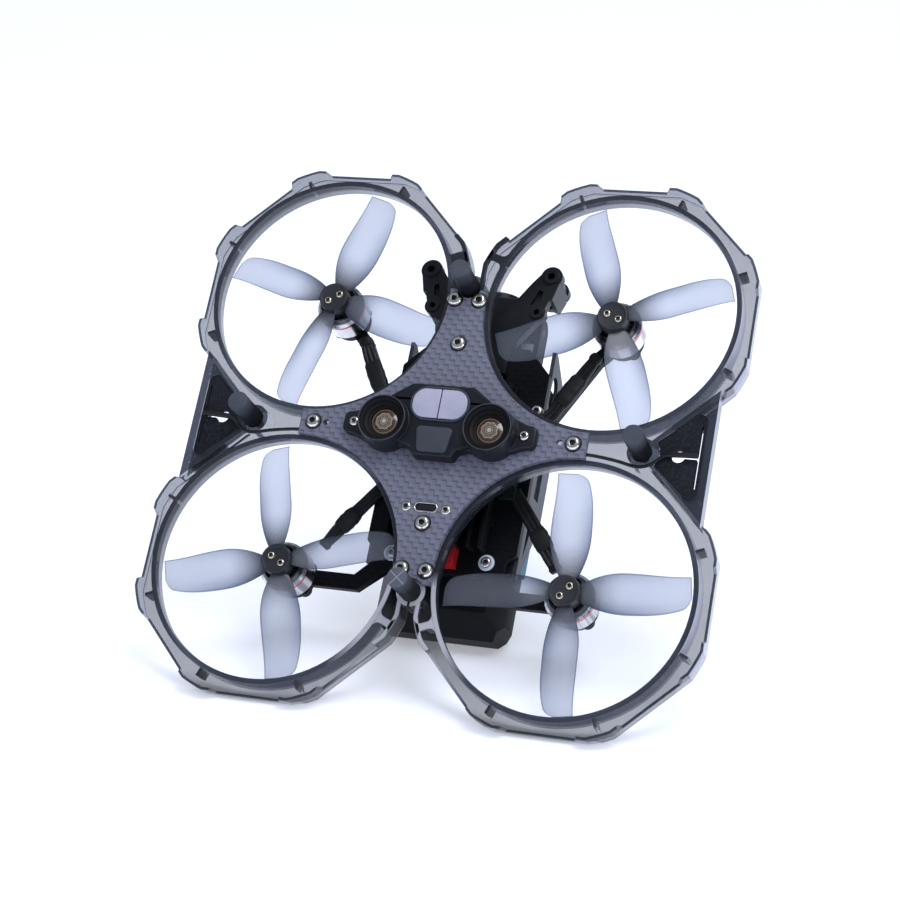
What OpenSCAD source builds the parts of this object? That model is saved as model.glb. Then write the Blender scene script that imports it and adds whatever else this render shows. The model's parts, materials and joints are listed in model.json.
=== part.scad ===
// Ducted quadcopter with inverted (pusher) motors, belly vision module, tilting
// camera and a slide-in battery.
// +Y is forward, +Z is up.  The origin is midway between the four motor axes,
// on the plane the rubber feet stand on.

/* [Layout] */
// Sideways distance from the centre to each motor axis
motor_x = 55.3; // [55.3:0.1:55.6]
// Forward distance from the centre to each motor axis
motor_y = 53.2; // [53.2:0.1:53.4]
// Height of the belly plate's upper face above the ground
belly_top = 18; // [17.8:0.1:18.2]
// Thickness of the carbon belly plate
belly_t = 2; // [1.5:0.1:2.5]
// Height of the underside of the carbon arm plate
arm_z = 42.2; // [42.2:0.1:42.4]
// Thickness of the carbon arm plate
arm_t = 3.5; // [3:0.1:3.5]

/* [Propellers] */
// Propeller tip radius
prop_r = 45; // [43:0.1:45.2]
// Radius of the propeller hub
hub_r = 5.75; // [5.5:0.05:6]
// Number of blades on each propeller
blade_count = 4; // [3:1:5]
// Blade pitch in millimetres per turn
blade_pitch = 57; // [45:1:70]
// Blade thickness at the root
blade_t = 1.3; // [1:0.1:1.6]

/* [Ducts] */
// Inner radius of each duct at its lower lip
duct_r = 46.4; // [46.2:0.1:46.6]
// Radial width of the duct's lower lip
lip_w = 1.86; // [1.6:0.02:2]
// Height of a duct, lip to inlet
duct_h = 9; // [8.5:0.1:9.5]
// Distance from the duct axis to the flats of its octagonal outer wall
flat_r = 52.6; // [52.2:0.1:52.7]
// Radius of the rounded corners of the outer wall
corner_r = 55.2; // [54.8:0.1:55.6]
// Wall thickness of the duct mouldings
duct_wall = 1; // [0.9:0.1:1.2]

/* [Motors] */
// Outside radius of the motor bell
bell_r = 9.4; // [9.3:0.1:9.6]
// Height of the motor bell's outer face above the ground
bell_z = 26.8; // [26.8:0.05:26.9]
// Number of magnets in each bell
magnet_count = 14; // [12:2:14]
// Number of wound teeth in each motor
tooth_count = 12; // [9:3:12]

/* [Body] */
// Half width between the outer faces of the side plates
side_x = 29.5; // [29:0.1:30]
// Height of the side plates' upper edge above the ground
side_top = 66; // [64:0.5:67]
// Half width of the battery
battery_hw = 25.6; // [25:0.1:25.6]
// Height of the battery's upper face above the ground
battery_top = 72.5; // [70:0.5:74]
// Distance from the centre to the battery's rear face
battery_rear = 66; // [62:0.5:68]

/* [Camera] */
// Forward distance from the centre to the camera's tilt axis
cam_y = 60; // [59.5:0.1:61]
// Height of the camera's tilt axis above the ground
cam_z = 59; // [58.8:0.1:60]
// Radius that the camera body's corners sweep as it tilts
cam_sweep = 14.4; // [13.6:0.1:14.6]

/* [Controls] */
// Travel of each battery release button
latch_travel = 1.2; // [0.8:0.1:1.5]
// Travel of the power button
power_travel = 0.8; // [0.5:0.1:1]

/* [Hidden] */
$fn = 96;
eps = 0.01;
belly_z = belly_top - belly_t;
duct_top = belly_top + duct_h;
lip_r = duct_r + lip_w;
arm_top = arm_z + arm_t;
foot_y_front = motor_y + 6;
foot_y_rear = -motor_y - 7.5;
foot_x = 75.4;
cup_r = 5.5;
centre_cup_r = 4.6;
foot_r = 3.85;
quads = [[1, 1], [-1, 1], [1, -1], [-1, -1]];
// Places of the button-head screws that hold the belly plate
tip_screws = [[4.76, 53.6], [-4.76, 53.6], [4.64, -52.9], [-4.64, -52.9]];
side_screws = [[50.4, 0.2], [-50.4, 0.2]];
post_screws = [[0, 35.8], [0, -35.2]];
washer_at = [[18.6, -40.2], [-18.6, -40.2]];
plain_at = [[27, 21], [-27, 21]];

// ---- small helpers -------------------------------------------------------

module at_quads() for (q = quads) translate([q.x * motor_x, q.y * motor_y, 0]) children();

module mirror_x() { children(); mirror([1, 0, 0]) children(); }

module tube(r, hole, h) difference() {
    cylinder(r = r, h = h);
    translate([0, 0, -1]) cylinder(r = hole, h = h + 2);
}

module slab(points, z, h) translate([0, 0, z]) linear_extrude(h) polygon(points);

// A rounded rectangle made from exact arcs
module round_rect(w, d, r) {
    square([w - 2 * r, d], center = true);
    square([w, d - 2 * r], center = true);
    for (x = [-1, 1], y = [-1, 1]) translate([x * (w / 2 - r), y * (d / 2 - r)]) circle(r);
}

module stadium(w, d) {
    square([w - d, d], center = true);
    for (x = [-1, 1]) translate([x * (w - d) / 2, 0]) circle(d / 2);
}

// Button-head screw with a hex socket; the head's top faces down
module button_screw(head_r, head_h, shank_r, shank_l, socket_r) difference() {
    union() {
        translate([0, 0, -head_h])
            rotate_extrude() polygon([[0, 0], [head_r * 0.62, 0], [head_r, head_h * 0.75],
                                      [head_r, head_h], [0, head_h]]);
        cylinder(r = shank_r, h = shank_l);
    }
    translate([0, 0, -head_h - 1]) cylinder(r = socket_r, h = head_h * 0.65 + 1, $fn = 6);
}

// ---- belly plate ---------------------------------------------------------

module star_2d(clear) difference() {
    square([2 * motor_x + 0.6, 2 * motor_y + 9.6], center = true);
    for (q = quads) translate([q.x * motor_x, q.y * motor_y]) circle(lip_r - clear);
    translate([0, foot_y_front]) circle(centre_cup_r + 0.1);
    translate([0, foot_y_rear]) circle(centre_cup_r + 0.1);
}

module belly_plate() color("#5c5f6b") difference() {
    translate([0, 0, belly_z]) linear_extrude(belly_t) star_2d(0.06);
    for (p = concat(tip_screws, side_screws, post_screws))
        translate([p.x, p.y, belly_z - 1]) cylinder(r = 1.55, h = belly_t + 2);
    for (x = [-45.3, 45.3]) translate([x, 0.3, belly_z - 1]) cylinder(r = 1.1, h = belly_t + 2);
    for (x = [-7.6, 7.6]) translate([x, -29.3, belly_z - 1]) cylinder(r = 1.25, h = belly_t + 2);
    for (x = [-32.8, 32.8]) translate([x, 0.3, belly_z - 1]) cylinder(r = 1.25, h = belly_t + 2);
    translate([0, -29.1, belly_z - 1]) linear_extrude(belly_t + 2) stadium(9.2, 3.9);
}

// ---- duct frames ---------------------------------------------------------

module octagon(r) rotate(22.5) circle(r / cos(22.5), $fn = 8);

// Outline of one ring: an octagon with rounded corners
module ring_2d(inset) intersection() {
    octagon(flat_r - inset);
    circle(corner_r - inset);
}

// The five corners that face away from the body
module at_corners() for (k = [-0.5 : 1 : 3.5]) rotate(45 * k) children();

low_edge = belly_top + 0.6;
high_edge = belly_top + 4.4;

// Side view of a corner bumper, where the outer wall's lower edge ramps down
module bump_side() rotate([90, 0, 90]) linear_extrude(corner_r + 2)
    polygon([[-7.2, low_edge], [-8.6, high_edge], [8.6, high_edge], [7.2, low_edge]]);

// Places a shape on the front and rear ring of the right-hand frame
module both_rings() {
    translate([motor_x, motor_y]) children();
    translate([motor_x, -motor_y]) mirror([0, 1]) children();
}

// Plan area that bridges the two rings beside the belly plate's arm
module bridge_2d(inset) translate([36 + inset, -3.4]) square([38 - 2 * inset, 6.8]);

// Plan area of the stiff wedge outboard of the side foot
module gusset_2d() polygon([[72, -3], [76.6, -3], [100.3, -26], [100.3, 26], [76.6, 3], [72, 3]]);

// Plan area of the pocket that holds a side pad
module pad_2d(inset) difference() {
    union() {
        polygon([[77, -1.5], [92.4, -15.2 + inset], [97.4 - inset, -13.6 + inset],
                 [97.4 - inset, 13.6 - inset], [92.4, 15.2 - inset], [77, 1.5]]);
        for (s = [-1, 1]) translate([94.4, s * 13.6]) circle(3 - inset);
    }
    translate([foot_x, 0]) circle(cup_r + 1 + inset);
}

module duct_inner_wall() translate([0, 0, belly_top])
    rotate_extrude($fn = 200) polygon([[duct_r, 0], [lip_r, 0], [lip_r + 0.5, duct_h],
        [duct_r + 1.2, duct_h], [duct_r, 3]]);

module ribs_2d() at_corners() translate([lip_r, -0.6]) square([3.4, 1.2]);

// Plan area of a ring between two directions, measured from the ring's own +X axis
module sector_2d(from, to) polygon([[0, 0], [-60, -60 * tan(to)], [-60, -60 * tan(from)]]);

foot_lip = 1.7;

// Outer lip beside a centre foot, and the bridge to the inner lip at the next corner
module foot_lip_2d() intersection() {
    difference() {
        ring_2d(0.05);
        ring_2d(foot_lip);
    }
    sector_2d(148, 176);
}

module bridge_bar_2d() intersection() {
    ring_2d(0.05);
    rotate(157.8) translate([lip_r - 0.1, -1.4]) square([8, 2.8]);
}

module foot_flanges() translate([0, 0, belly_top + 0.05]) linear_extrude(1.2) both_rings() {
    foot_lip_2d();
    bridge_bar_2d();
}

// Solid flange under the front foot, on the +X side only
module front_foot_flange() translate([motor_x, motor_y, belly_top + 0.05]) linear_extrude(1.2)
    intersection() {
        ring_2d(0.05);
        sector_2d(157.6, 174);
        difference() {
            square(140, center = true);
            circle(lip_r - 0.1, $fn = 200);
        }
    }

module duct_walls() {
    // Outer wall: its lower edge is high along the flats and drops low at the corners
    translate([0, 0, high_edge]) linear_extrude(duct_top - high_edge) difference() {
        union() { both_rings() ring_2d(0); bridge_2d(0); }
        union() { both_rings() ring_2d(duct_wall); bridge_2d(duct_wall); }
    }
    for (s = [1, -1]) translate([motor_x, s * motor_y, 0]) mirror([0, s < 0 ? 1 : 0, 0]) intersection() {
        at_corners() bump_side();
        translate([0, 0, low_edge]) linear_extrude(high_edge - low_edge) difference() {
            ring_2d(0);
            ring_2d(duct_wall);
        }
    }
    // Inlet sheet that closes the channel from above
    translate([0, 0, duct_top - duct_wall]) linear_extrude(duct_wall) difference() {
        union() { both_rings() ring_2d(0); bridge_2d(0); }
        both_rings() circle(lip_r - 0.1, $fn = 200);
    }
    for (s = [1, -1]) translate([motor_x, s * motor_y, 0]) duct_inner_wall();
    translate([0, 0, belly_top + 0.8]) linear_extrude(duct_h - 0.9) both_rings() ribs_2d();
}

module gusset() difference() {
    translate([0, 0, belly_top]) linear_extrude(6.6) gusset_2d();
    translate([0, 0, belly_top - 1]) linear_extrude(4.2) pad_2d(0);
    // Window behind the pad, smaller than the pad all round
    slab([[84, -5], [91, -11.5], [96, -11.5], [96, 11.5], [91, 11.5], [84, 5]], belly_top, 12);
    for (s = [-1, 1]) both_rings() translate([0, 0, belly_top - 1]) cylinder(r = lip_r, h = 12);
}

module foot_cup(x, y, r) translate([x, y, belly_top]) cylinder(r = r, h = duct_h);

// Tab that takes one of the belly plate's screws
module screw_tab(p) translate([p.x, p.y, belly_top]) {
    cylinder(r = 3.9, h = 3);
    cylinder(r = 2.9, h = duct_h - 1);
}

// The frame on the +X side; the centre cups are split between the two frames
module duct_frame() difference() {
    union() {
        duct_walls();
        foot_flanges();
        gusset();
        foot_cup(foot_x, 0, cup_r);
        foot_cup(0, foot_y_front, cup_r);
        foot_cup(0, foot_y_rear, cup_r);
        screw_tab(tip_screws[0]);
        screw_tab(tip_screws[2]);
        screw_tab(side_screws[0]);
        for (s = [-1, 1]) translate([97.7, s * 18.2, belly_top - 0.4]) cylinder(r = 1.9, h = 3);
    }
    for (p = [tip_screws[0], tip_screws[2], side_screws[0]])
        translate([p.x, p.y, belly_top - 1]) cylinder(r = 1.5, h = 7);
    for (p = [[0, foot_y_front], [0, foot_y_rear], [foot_x, 0]])
        translate([p.x, p.y, belly_top - 1]) cylinder(r = 1.6, h = duct_h - 1);
    // Parting gap between the two frames, and room for the USB board
    translate([-20, -80, belly_top - 2]) cube([20.4, 160, 20]);
    translate([0, -33, belly_top - 1]) cube([10.6, 7, 6]);
}

module duct_frame_right() color("#8c8f98") union() {
    duct_frame();
    front_foot_flange();
}

module duct_frame_left() color("#8c8f98") mirror([1, 0, 0]) duct_frame();

module side_pad() difference() {
    translate([0, 0, belly_top + 0.5]) linear_extrude(2.6) pad_2d(0.1);
    translate([88.6, 0, belly_top - 1]) cylinder(r = 2.6, h = 8);
    translate([88.6, -0.9, belly_top - 1]) cube([7.4, 1.8, 8]);
    translate([95.5, -12, belly_top - 1]) cube([0.8, 24, 8]);
}

module side_pads() color("#24262c") mirror_x() side_pad();

// ---- feet and antennas ---------------------------------------------------

module rubber_feet() color("#3f4450")
    for (p = [[foot_x, 0], [-foot_x, 0], [0, foot_y_front], [0, foot_y_rear]])
        translate([p.x, p.y, 0]) {
            cylinder(r = foot_r, h = belly_top - eps);
            translate([0, 0, belly_top - 1]) cylinder(r = 1.58, h = 6);
        }

// Round rod between two points
module rod(a, b, r) let (d = b - a, len_ab = norm(d)) translate(a)
    rotate([0, acos(d.z / len_ab), atan2(d.y, d.x)]) cylinder(r = r, h = len_ab);

// Round rod along a path; each length is a little thinner than the one before it
module rod_path(path, r)
    for (i = [0 : len(path) - 2]) rod(path[i], path[i + 1], r * (1 - 0.04 * i));

// Lead from the belly plate's arm, round the side foot, to the whip on the pad
antenna_z = belly_top - 0.8;
antenna_lead = [[57, -2.6, antenna_z], [67, -4, antenna_z],
                [76.2, -5.7, antenna_z], [83.9, -0.4, antenna_z]];

module antennas() color("#16171a") mirror_x() {
    rod_path(antenna_lead, 0.65);
    rod([83.4, 0, antenna_z], [96, 0.2, antenna_z], 1.1);
}

// ---- screws --------------------------------------------------------------

module plate_screws() color("#d9d9dc") for (p = concat(tip_screws, side_screws, post_screws))
    translate([p.x, p.y, belly_z]) button_screw(2.8, 1.7, 1.45, 7, 1);

// Countersunk screws for the USB board, and cap screws for the vision module
module small_screws() color("#d0d0d4") {
    for (x = [-7.6, 7.6]) translate([x, -29.3, belly_z]) button_screw(1.95, 0.5, 1.2, 3.9, 0.7);
    for (x = [-32.8, 32.8]) translate([x, 0.3, belly_z - 3.4]) button_screw(1.9, 1.3, 1.2, 5.6, 0.75);
}

// ---- vision module -------------------------------------------------------

lens_x = 20.3;
lens_y = 0.4;
pod_h = 10;

module vision_housing() color("#141519") difference() {
    union() {
        for (x = [-lens_x, lens_x]) translate([x, lens_y, belly_z - pod_h]) rotate_extrude()
            polygon([[0, 0], [8.9, 0], [9.6, 1], [9.6, pod_h], [0, pod_h]]);
        for (x = [-33, 33]) translate([x, 0.3, belly_z - 3.4]) cylinder(r = 4.3, h = 3.4);
        translate([-33, -4, belly_z - 3.4]) cube([66, 8.6, 3.4]);
        slab([[-21, 9.6], [-11.5, 16.4], [11.5, 16.4], [21, 9.6], [20, -8.6], [9, -8.6],
              [7.4, -11.4], [-7.4, -11.4], [-9, -8.6], [-20, -8.6]], belly_z - 6.6, 6.6);
    }
    for (x = [-lens_x, lens_x]) translate([x, lens_y, belly_z - 12]) cylinder(r = 8.2, h = 9);
    for (x = [-32.8, 32.8]) translate([x, 0.3, belly_z - 9]) cylinder(r = 1.25, h = 12);
    translate([0, 8.6, belly_z - 8]) linear_extrude(3.6) round_rect(21.4, 11.8, 5.2);
    slab([[-7.6, -0.2], [7.6, -0.2], [5.7, -10.6], [-5.7, -10.6]], belly_z - 8, 3.6);
}

module vision_lens_rims() color("#2b2d33") for (x = [-lens_x, lens_x])
    translate([x, lens_y, belly_z - pod_h - 1]) rotate_extrude()
        polygon([[5, 6], [8.19, 6], [8.19, 0.6], [7.7, 0], [7.2, 0], [5, 3.6]]);

module vision_lenses() color("#6b5a4a") for (x = [-lens_x, lens_x])
    translate([x, lens_y, belly_z - pod_h + 2]) intersection() {
        cylinder(r = 4.95, h = 2.6);
        translate([0, 0, 12]) sphere(r = 12);
    }

module range_window() color("#a9abc4") difference() {
    translate([0, 8.6, belly_z - 7.4]) linear_extrude(2.9) round_rect(21, 11.4, 5);
    translate([-0.2, 0, belly_z - 9]) cube([0.4, 20, 8]);
}

module vision_cap() color("#1c1d22")
    slab([[-7.3, -0.4], [7.3, -0.4], [5.4, -10.3], [-5.4, -10.3]], belly_z - 7.8, 3.3);

// ---- belly electronics ---------------------------------------------------

module usb_port() color("#c9cbd0") {
    translate([0, -29.1, belly_z - 0.2]) linear_extrude(3.6) difference() {
        stadium(8.9, 3.6);
        stadium(8.1, 2.8);
    }
    translate([0, -29.1, belly_z + 0.6]) linear_extrude(2) square([6.4, 0.8], center = true);
    translate([0, -29.3, belly_top + 0.4]) linear_extrude(1.4) difference() {
        square([20, 5.4], center = true);
        for (x = [-7.6, 7.6]) translate([x, 0]) circle(1.25);
    }
}

core_hw = 17;
core_top = 29.4;

module core_shell() color("#1b1c20") difference() {
    translate([0, 0, belly_top]) linear_extrude(core_top - belly_top)
        round_rect(2 * core_hw, 2 * core_hw, 3);
    translate([0, 0, belly_top - 1]) linear_extrude(core_top - belly_top - 0.6)
        round_rect(2 * core_hw - 2.8, 2 * core_hw - 2.8, 1.8);
}

module main_board() color("#14532d") {
    translate([0, 0, belly_top + 3]) linear_extrude(1.6) round_rect(31, 31, 1.5);
    translate([-7, -7, belly_top + 4.6]) cube([14, 14, 2]);
    translate([-13, 8, belly_top + 4.6]) cube([9, 5, 1.6]);
    translate([5, 9, belly_top + 4.6]) cube([8, 4, 1.6]);
    for (x = [-13, 13], y = [-13, 13]) translate([x, y, belly_top]) cylinder(r = 1.6, h = 3.2);
}

esc_z = arm_z - 4;

// Motor speed controller board on four spacers under the arm plate
module esc_board() color("#123f2a") {
    translate([-25.6, -16, esc_z]) cube([51.2, 32, 1.6]);
    for (x = [-17, 17], y = [-13.4, 13.4]) translate([x, y, esc_z + 1.5])
        cylinder(r = 1.6, h = arm_z - esc_z - 1.5 - eps);
    for (x = [-12, -4, 4, 12], y = [-8, 8]) translate([x - 2.5, y - 2.5, esc_z + 1.6]) cube([5, 5, 1]);
}

// Finned block between the core and the speed controller
module heat_sink() color("#26282e") {
    translate([-20, -28, esc_z - 2.4]) cube([40, 56, 2.4 - eps]);
    for (i = [-4 : 4], tail = abs(i) < 2 ? 27 : 38)
        translate([i * 4.6 - 0.7, -tail, core_top + eps]) cube([1.4, 27 + tail, esc_z - core_top - 2]);
}

// ---- arm plate -----------------------------------------------------------

module motor_holes_2d() {
    circle(3.2);
    for (a = [45 : 90 : 315]) rotate(a) translate([6, 0]) circle(1.1);
}

// Seat of a motor at the end of an arm, on the +X +Y side
module arm_seat_2d() translate([motor_x, motor_y]) {
    circle(7.7);
    for (a = [45 : 90 : 315]) rotate(a) translate([6, 0]) circle(2.7);
}

// Straight bar that runs a little past both of its ends
module bar_2d(a, b, width) let (d = b - a, past = 0.3 * width) translate(a) rotate(atan2(d.y, d.x))
    translate([-past, -width / 2]) square([norm(d) + 2 * past, width]);

// The front arm runs slantwise to the middle of the frame, under its motor's leads
front_arm = [[motor_x, motor_y], [46.6, 43.8], [32.6, 18.8], [22, 8]];

module front_arm_2d() {
    arm_seat_2d();
    for (i = [0 : 2]) bar_2d(front_arm[i], front_arm[i + 1], 5.2);
}

// The rear arm curves round the battery to the tail of the frame
module rear_arm_2d() {
    arm_seat_2d();
    polygon([[48, 56], [29.6, 56], [16, 44.3], [16, 39], [26, 39], [26, 44.2], [31.8, 50], [48, 50]]);
}

module arm_plate() color("#2b2d34") difference() {
    union() {
        mirror_x() translate([0, 0, arm_z]) linear_extrude(arm_t) front_arm_2d();
        mirror_x() mirror([0, 1, 0]) translate([0, 0, arm_z]) linear_extrude(arm_t) rear_arm_2d();
        slab([[-20, 46], [20, 46], [side_x, 36], [side_x, -36], [20, -46], [-20, -46],
              [-side_x, -36], [-side_x, 36]], arm_z, arm_t);
    }
    at_quads() translate([0, 0, arm_z - 1]) linear_extrude(arm_t + 2) motor_holes_2d();
    for (p = concat(washer_at, plain_at, post_screws))
        translate([p.x, p.y, arm_z - 1]) cylinder(r = 1.55, h = arm_t + 2);
}

// Round posts between the plates; the rear one carries a wide red spacer block
module frame_standoffs() color("#b3261e") difference() {
    union() {
        for (p = post_screws) translate([p.x, p.y, belly_top + eps])
            cylinder(r = 2.6, h = arm_z - belly_top - 2 * eps);
        translate([-7.2, -44, arm_z - 6]) cube([14.4, 13.8, 6 - eps]);
    }
    for (p = post_screws) translate([p.x, p.y, belly_top - 1]) {
        cylinder(r = 1.5, h = 7);
        translate([0, 0, arm_z - belly_top - 5]) cylinder(r = 1.5, h = 8);
    }
}

// Screws that pass up through the arm plate; the rear pair sit on wide washers
module frame_screws() color("#cfd0d4") {
    for (p = washer_at) translate([p.x, p.y, arm_z - 0.8]) {
        button_screw(2.1, 1.3, 1.45, 5.4, 0.9);
        tube(3.1, 1.4, 0.79);
    }
    for (p = plain_at) translate([p.x, p.y, arm_z]) button_screw(2.6, 1.6, 1.45, arm_t - eps, 1);
    for (p = post_screws)
        translate([p.x, p.y, arm_top]) mirror([0, 0, 1]) button_screw(2.5, 1.4, 1.45, 7, 1);
}

// ---- motors --------------------------------------------------------------

stator_r = bell_r - 2.35;
housing_r = 3.5;

module motor_bases() color("#b9bcc4") at_quads() {
    translate([0, 0, arm_z - 2.4]) difference() {
        cylinder(r = 7.8, h = 2.39);
        for (a = [45 : 90 : 315]) rotate(a) translate([6, 0, -1]) cylinder(r = 0.95, h = 5);
        translate([0, 0, -1]) cylinder(r = 3, h = 5);
    }
    translate([0, 0, 30.4]) tube(housing_r, 3, arm_z - 30.4 - 0.4);
}

module stator_2d() difference() {
    union() {
        circle(4.3);
        for (i = [0 : tooth_count - 1]) rotate(i * 360 / tooth_count) {
            translate([0, -0.5]) square([stator_r - 0.4, 1]);
            intersection() {
                difference() { circle(stator_r); circle(stator_r - 0.7); }
                translate([5.5, -1.4]) square([4, 2.8]);
            }
        }
    }
    circle(housing_r + 0.02);
}

module motor_stators() color("#6d7079") at_quads()
    translate([0, 0, 31.6]) linear_extrude(5.6) stator_2d();

module motor_coils() color("#b5622a") at_quads() for (i = [0 : tooth_count - 1])
    rotate(i * 360 / tooth_count) translate([4.5, 0, 30.8]) difference() {
        translate([0, -0.98, 0]) cube([1.75, 1.96, 7.2]);
        translate([-1, -0.52, 0.78]) cube([4, 1.04, 5.64]);
    }

module motor_bearings() color("#d5d7dc") at_quads() for (z = [30.6, 38.4])
    translate([0, 0, z]) tube(2.99, 1.54, 2.4);

module motor_screws() color("#34363c") at_quads() for (a = [45 : 90 : 315])
    rotate(a) translate([6, 0, arm_top]) mirror([0, 0, 1]) button_screw(1.9, 1.5, 0.9, arm_t + 1.6, 0.8);

// Flux ring, spoked cap and shaft; screw_turn is where the propeller's screws sit
module bell(screw_turn) {
    difference() {
        union() {
            translate([0, 0, bell_z]) cylinder(r = bell_r - 2.2, h = 1.6);
            translate([0, 0, bell_z + 0.8]) rotate_extrude()
                polygon([[bell_r - 3.4, 0], [bell_r - 2.2, 0], [bell_r, 2.4], [bell_r, 11.4],
                         [bell_r - 1, 11.4], [bell_r - 1, 2.6], [bell_r - 3.4, 1.6]]);
        }
        for (a = [0 : 60 : 300]) rotate(a) translate([5.4, 0, bell_z - 1]) cylinder(r = 1.4, h = 5);
        for (x = [-2.5, 2.5]) rotate(screw_turn) translate([x, 0, bell_z - 1]) cylinder(r = 0.8, h = 5);
    }
    translate([0, 0, bell_z]) cylinder(r = 1.5, h = arm_z - bell_z - 1);
}

module magnets() for (i = [0 : magnet_count - 1]) rotate(i * 360 / magnet_count)
    translate([bell_r - 2.05, -1.4, 31.2]) cube([0.8, 2.8, 6.4]);

// ---- propellers ----------------------------------------------------------

// Blade chord over span position u, from 0 at the root to 1 at the tip; widest at u = 0.42
function chord(u) = prop_r * (0.341 - (u < 0.42 ? 1.16 : 0.3) * pow(u - 0.42, 2));
function span_r(u) = hub_r - 1 + u * (prop_r - hub_r + 1);
function pitch_angle(r) = min(19, atan(blade_pitch / (2 * PI * r)));
function sweep(u) = 0.7 + sin(180 * pow(u, 2.3));
// The leading corner of the tip is rounded and the trailing corner is left square
function tip_round(u) = u < 0.9 ? 1 : sqrt(1 - pow((u - 0.9) / 0.125, 3));
// Span positions of the blade sections, closer together at the rounded tip
stations = [0, 0.07, 0.15, 0.25, 0.35, 0.45, 0.55, 0.65, 0.75, 0.83, 0.9, 0.94, 0.97, 0.99, 1];
// Points around one blade section: x along the chord from -1 to 1, z is the side
section = [[-1, 0], [-0.8, 0.55], [-0.35, 0.95], [0.15, 1], [0.6, 0.7], [0.9, 0.3], [1, 0],
           [0.9, -0.3], [0.6, -0.6], [0.15, -0.75], [-0.35, -0.7], [-0.8, -0.4]];

function blade_ring(u) = let (r = span_r(u), a = pitch_angle(r), full = chord(u) / 2,
        c = full * tip_round(u), shift = sweep(u) - (full - c), t = blade_t * (1 - 0.62 * u) / 2)
    [for (p = section) let (along = p.x * c, up = p.y * t + 0.05 * c * (1 - p.x * p.x))
        [r, along * cos(a) - up * sin(a) + shift, along * sin(a) + up * cos(a)]];

module blade() {
    n = len(section);
    last = len(stations) - 1;
    points = [for (u = stations) each blade_ring(u)];
    sides = [for (i = [0 : last - 1], j = [0 : n - 1])
        [[i * n + j, i * n + (j + 1) % n, (i + 1) * n + (j + 1) % n],
         [i * n + j, (i + 1) * n + (j + 1) % n, (i + 1) * n + j]]];
    polyhedron(points, concat([for (s = sides) each s], [[for (j = [n - 1 : -1 : 0]) j]],
        [[for (j = [0 : n - 1]) last * n + j]]));
}

// turn sets where the blades rest, screw_turn where the two hub screws rest
module propeller(turn, screw_turn) difference() {
    union() {
        translate([0, 0, bell_z - 6.6]) cylinder(r = hub_r, h = 6.59);
        for (i = [0 : blade_count - 1]) rotate(turn + i * 360 / blade_count)
            translate([0, 0, bell_z - 3.4]) blade();
    }
    rotate(screw_turn) for (x = [-2.5, 2.5]) translate([x, 0, bell_z - 8]) {
        cylinder(r = 0.85, h = 10);
        cylinder(r = 1.8, h = 2.6);
    }
}

module prop_screws(screw_turn) rotate(screw_turn) for (x = [-2.5, 2.5])
    translate([x, 0, bell_z - 5.41]) button_screw(1.6, 1.1, 0.79, 7.6, 0.7);

// Places one rotor part; diagonal neighbours turn the opposite way
module rotor(q) translate([q.x * motor_x, q.y * motor_y, 0]) {
    if (q.x * q.y > 0) children();
    else mirror([0, 1, 0]) children();
}

// Rest positions of each rotor's blades and hub screws, in the order of quads
blade_turn = [13.3, 18.2, 12.3, 82.6];
screw_turn = [146, -22.7, -29, -52.5];

// ---- motor wires ---------------------------------------------------------

wire_z = arm_z - 1.3;
wire_r = 0.8;
wire_gap = 1.64;
// Plan path of the front right and rear right leads, motor to speed controller
wire_front = [[47.4, 45.2], [32.6, 18.8], [24.4, 10.6]];
wire_rear = [[45.6, -40.6], [33.4, -23.6], [24.4, -12]];

function unit(v) = v / norm(v);
function left_of(v) = [-v.y, v.x];

module wire_run(path) for (s = [-1, 0, 1]) let (side = s * wire_gap * left_of(unit(path[2] - path[0])))
    rod_path([for (p = path) [p.x + side.x, p.y + side.y, wire_z]], wire_r);

module motor_wires() color("#121316") mirror_x() {
    wire_run(wire_front);
    wire_run(wire_rear);
}

// Heat-shrink collar round a bundle of three leads
module collar(path) let (d = path[1] - path[0]) translate([path[0].x, path[0].y, wire_z])
    rotate([0, 90, atan2(d.y, d.x)]) translate([0, 0, 12]) linear_extrude(8) difference() {
        round_rect(2.5, 6.4, 1.1);
        square([1.8, 5.2], center = true);
    }

module wire_collars() color("#1d1e22") mirror_x() {
    collar(wire_front);
    collar(wire_rear);
}

// ---- camera cage ---------------------------------------------------------

module cage_2d() {
    polygon([[0, 34], [13, 34], [13, 44], [22.6, 57.6], [27.2, 71.8], [21.8, 78], [17, 71.8], [5, 53.6],
             [0, 53.6]]);
    translate([24.4, 75]) circle(4.3);
    translate([21, 59.8]) circle(3.4);
}

// Tip of a horn, for the upper tier; it stays clear of the tilt motor
module horn_tip_2d() {
    polygon([[20.6, 67.6], [25.6, 67.6], [27.2, 71.8], [21.8, 78], [19.4, 71.8]]);
    translate([24.4, 75]) circle(3.9);
}

cage_z = arm_z - 4.2;

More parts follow.
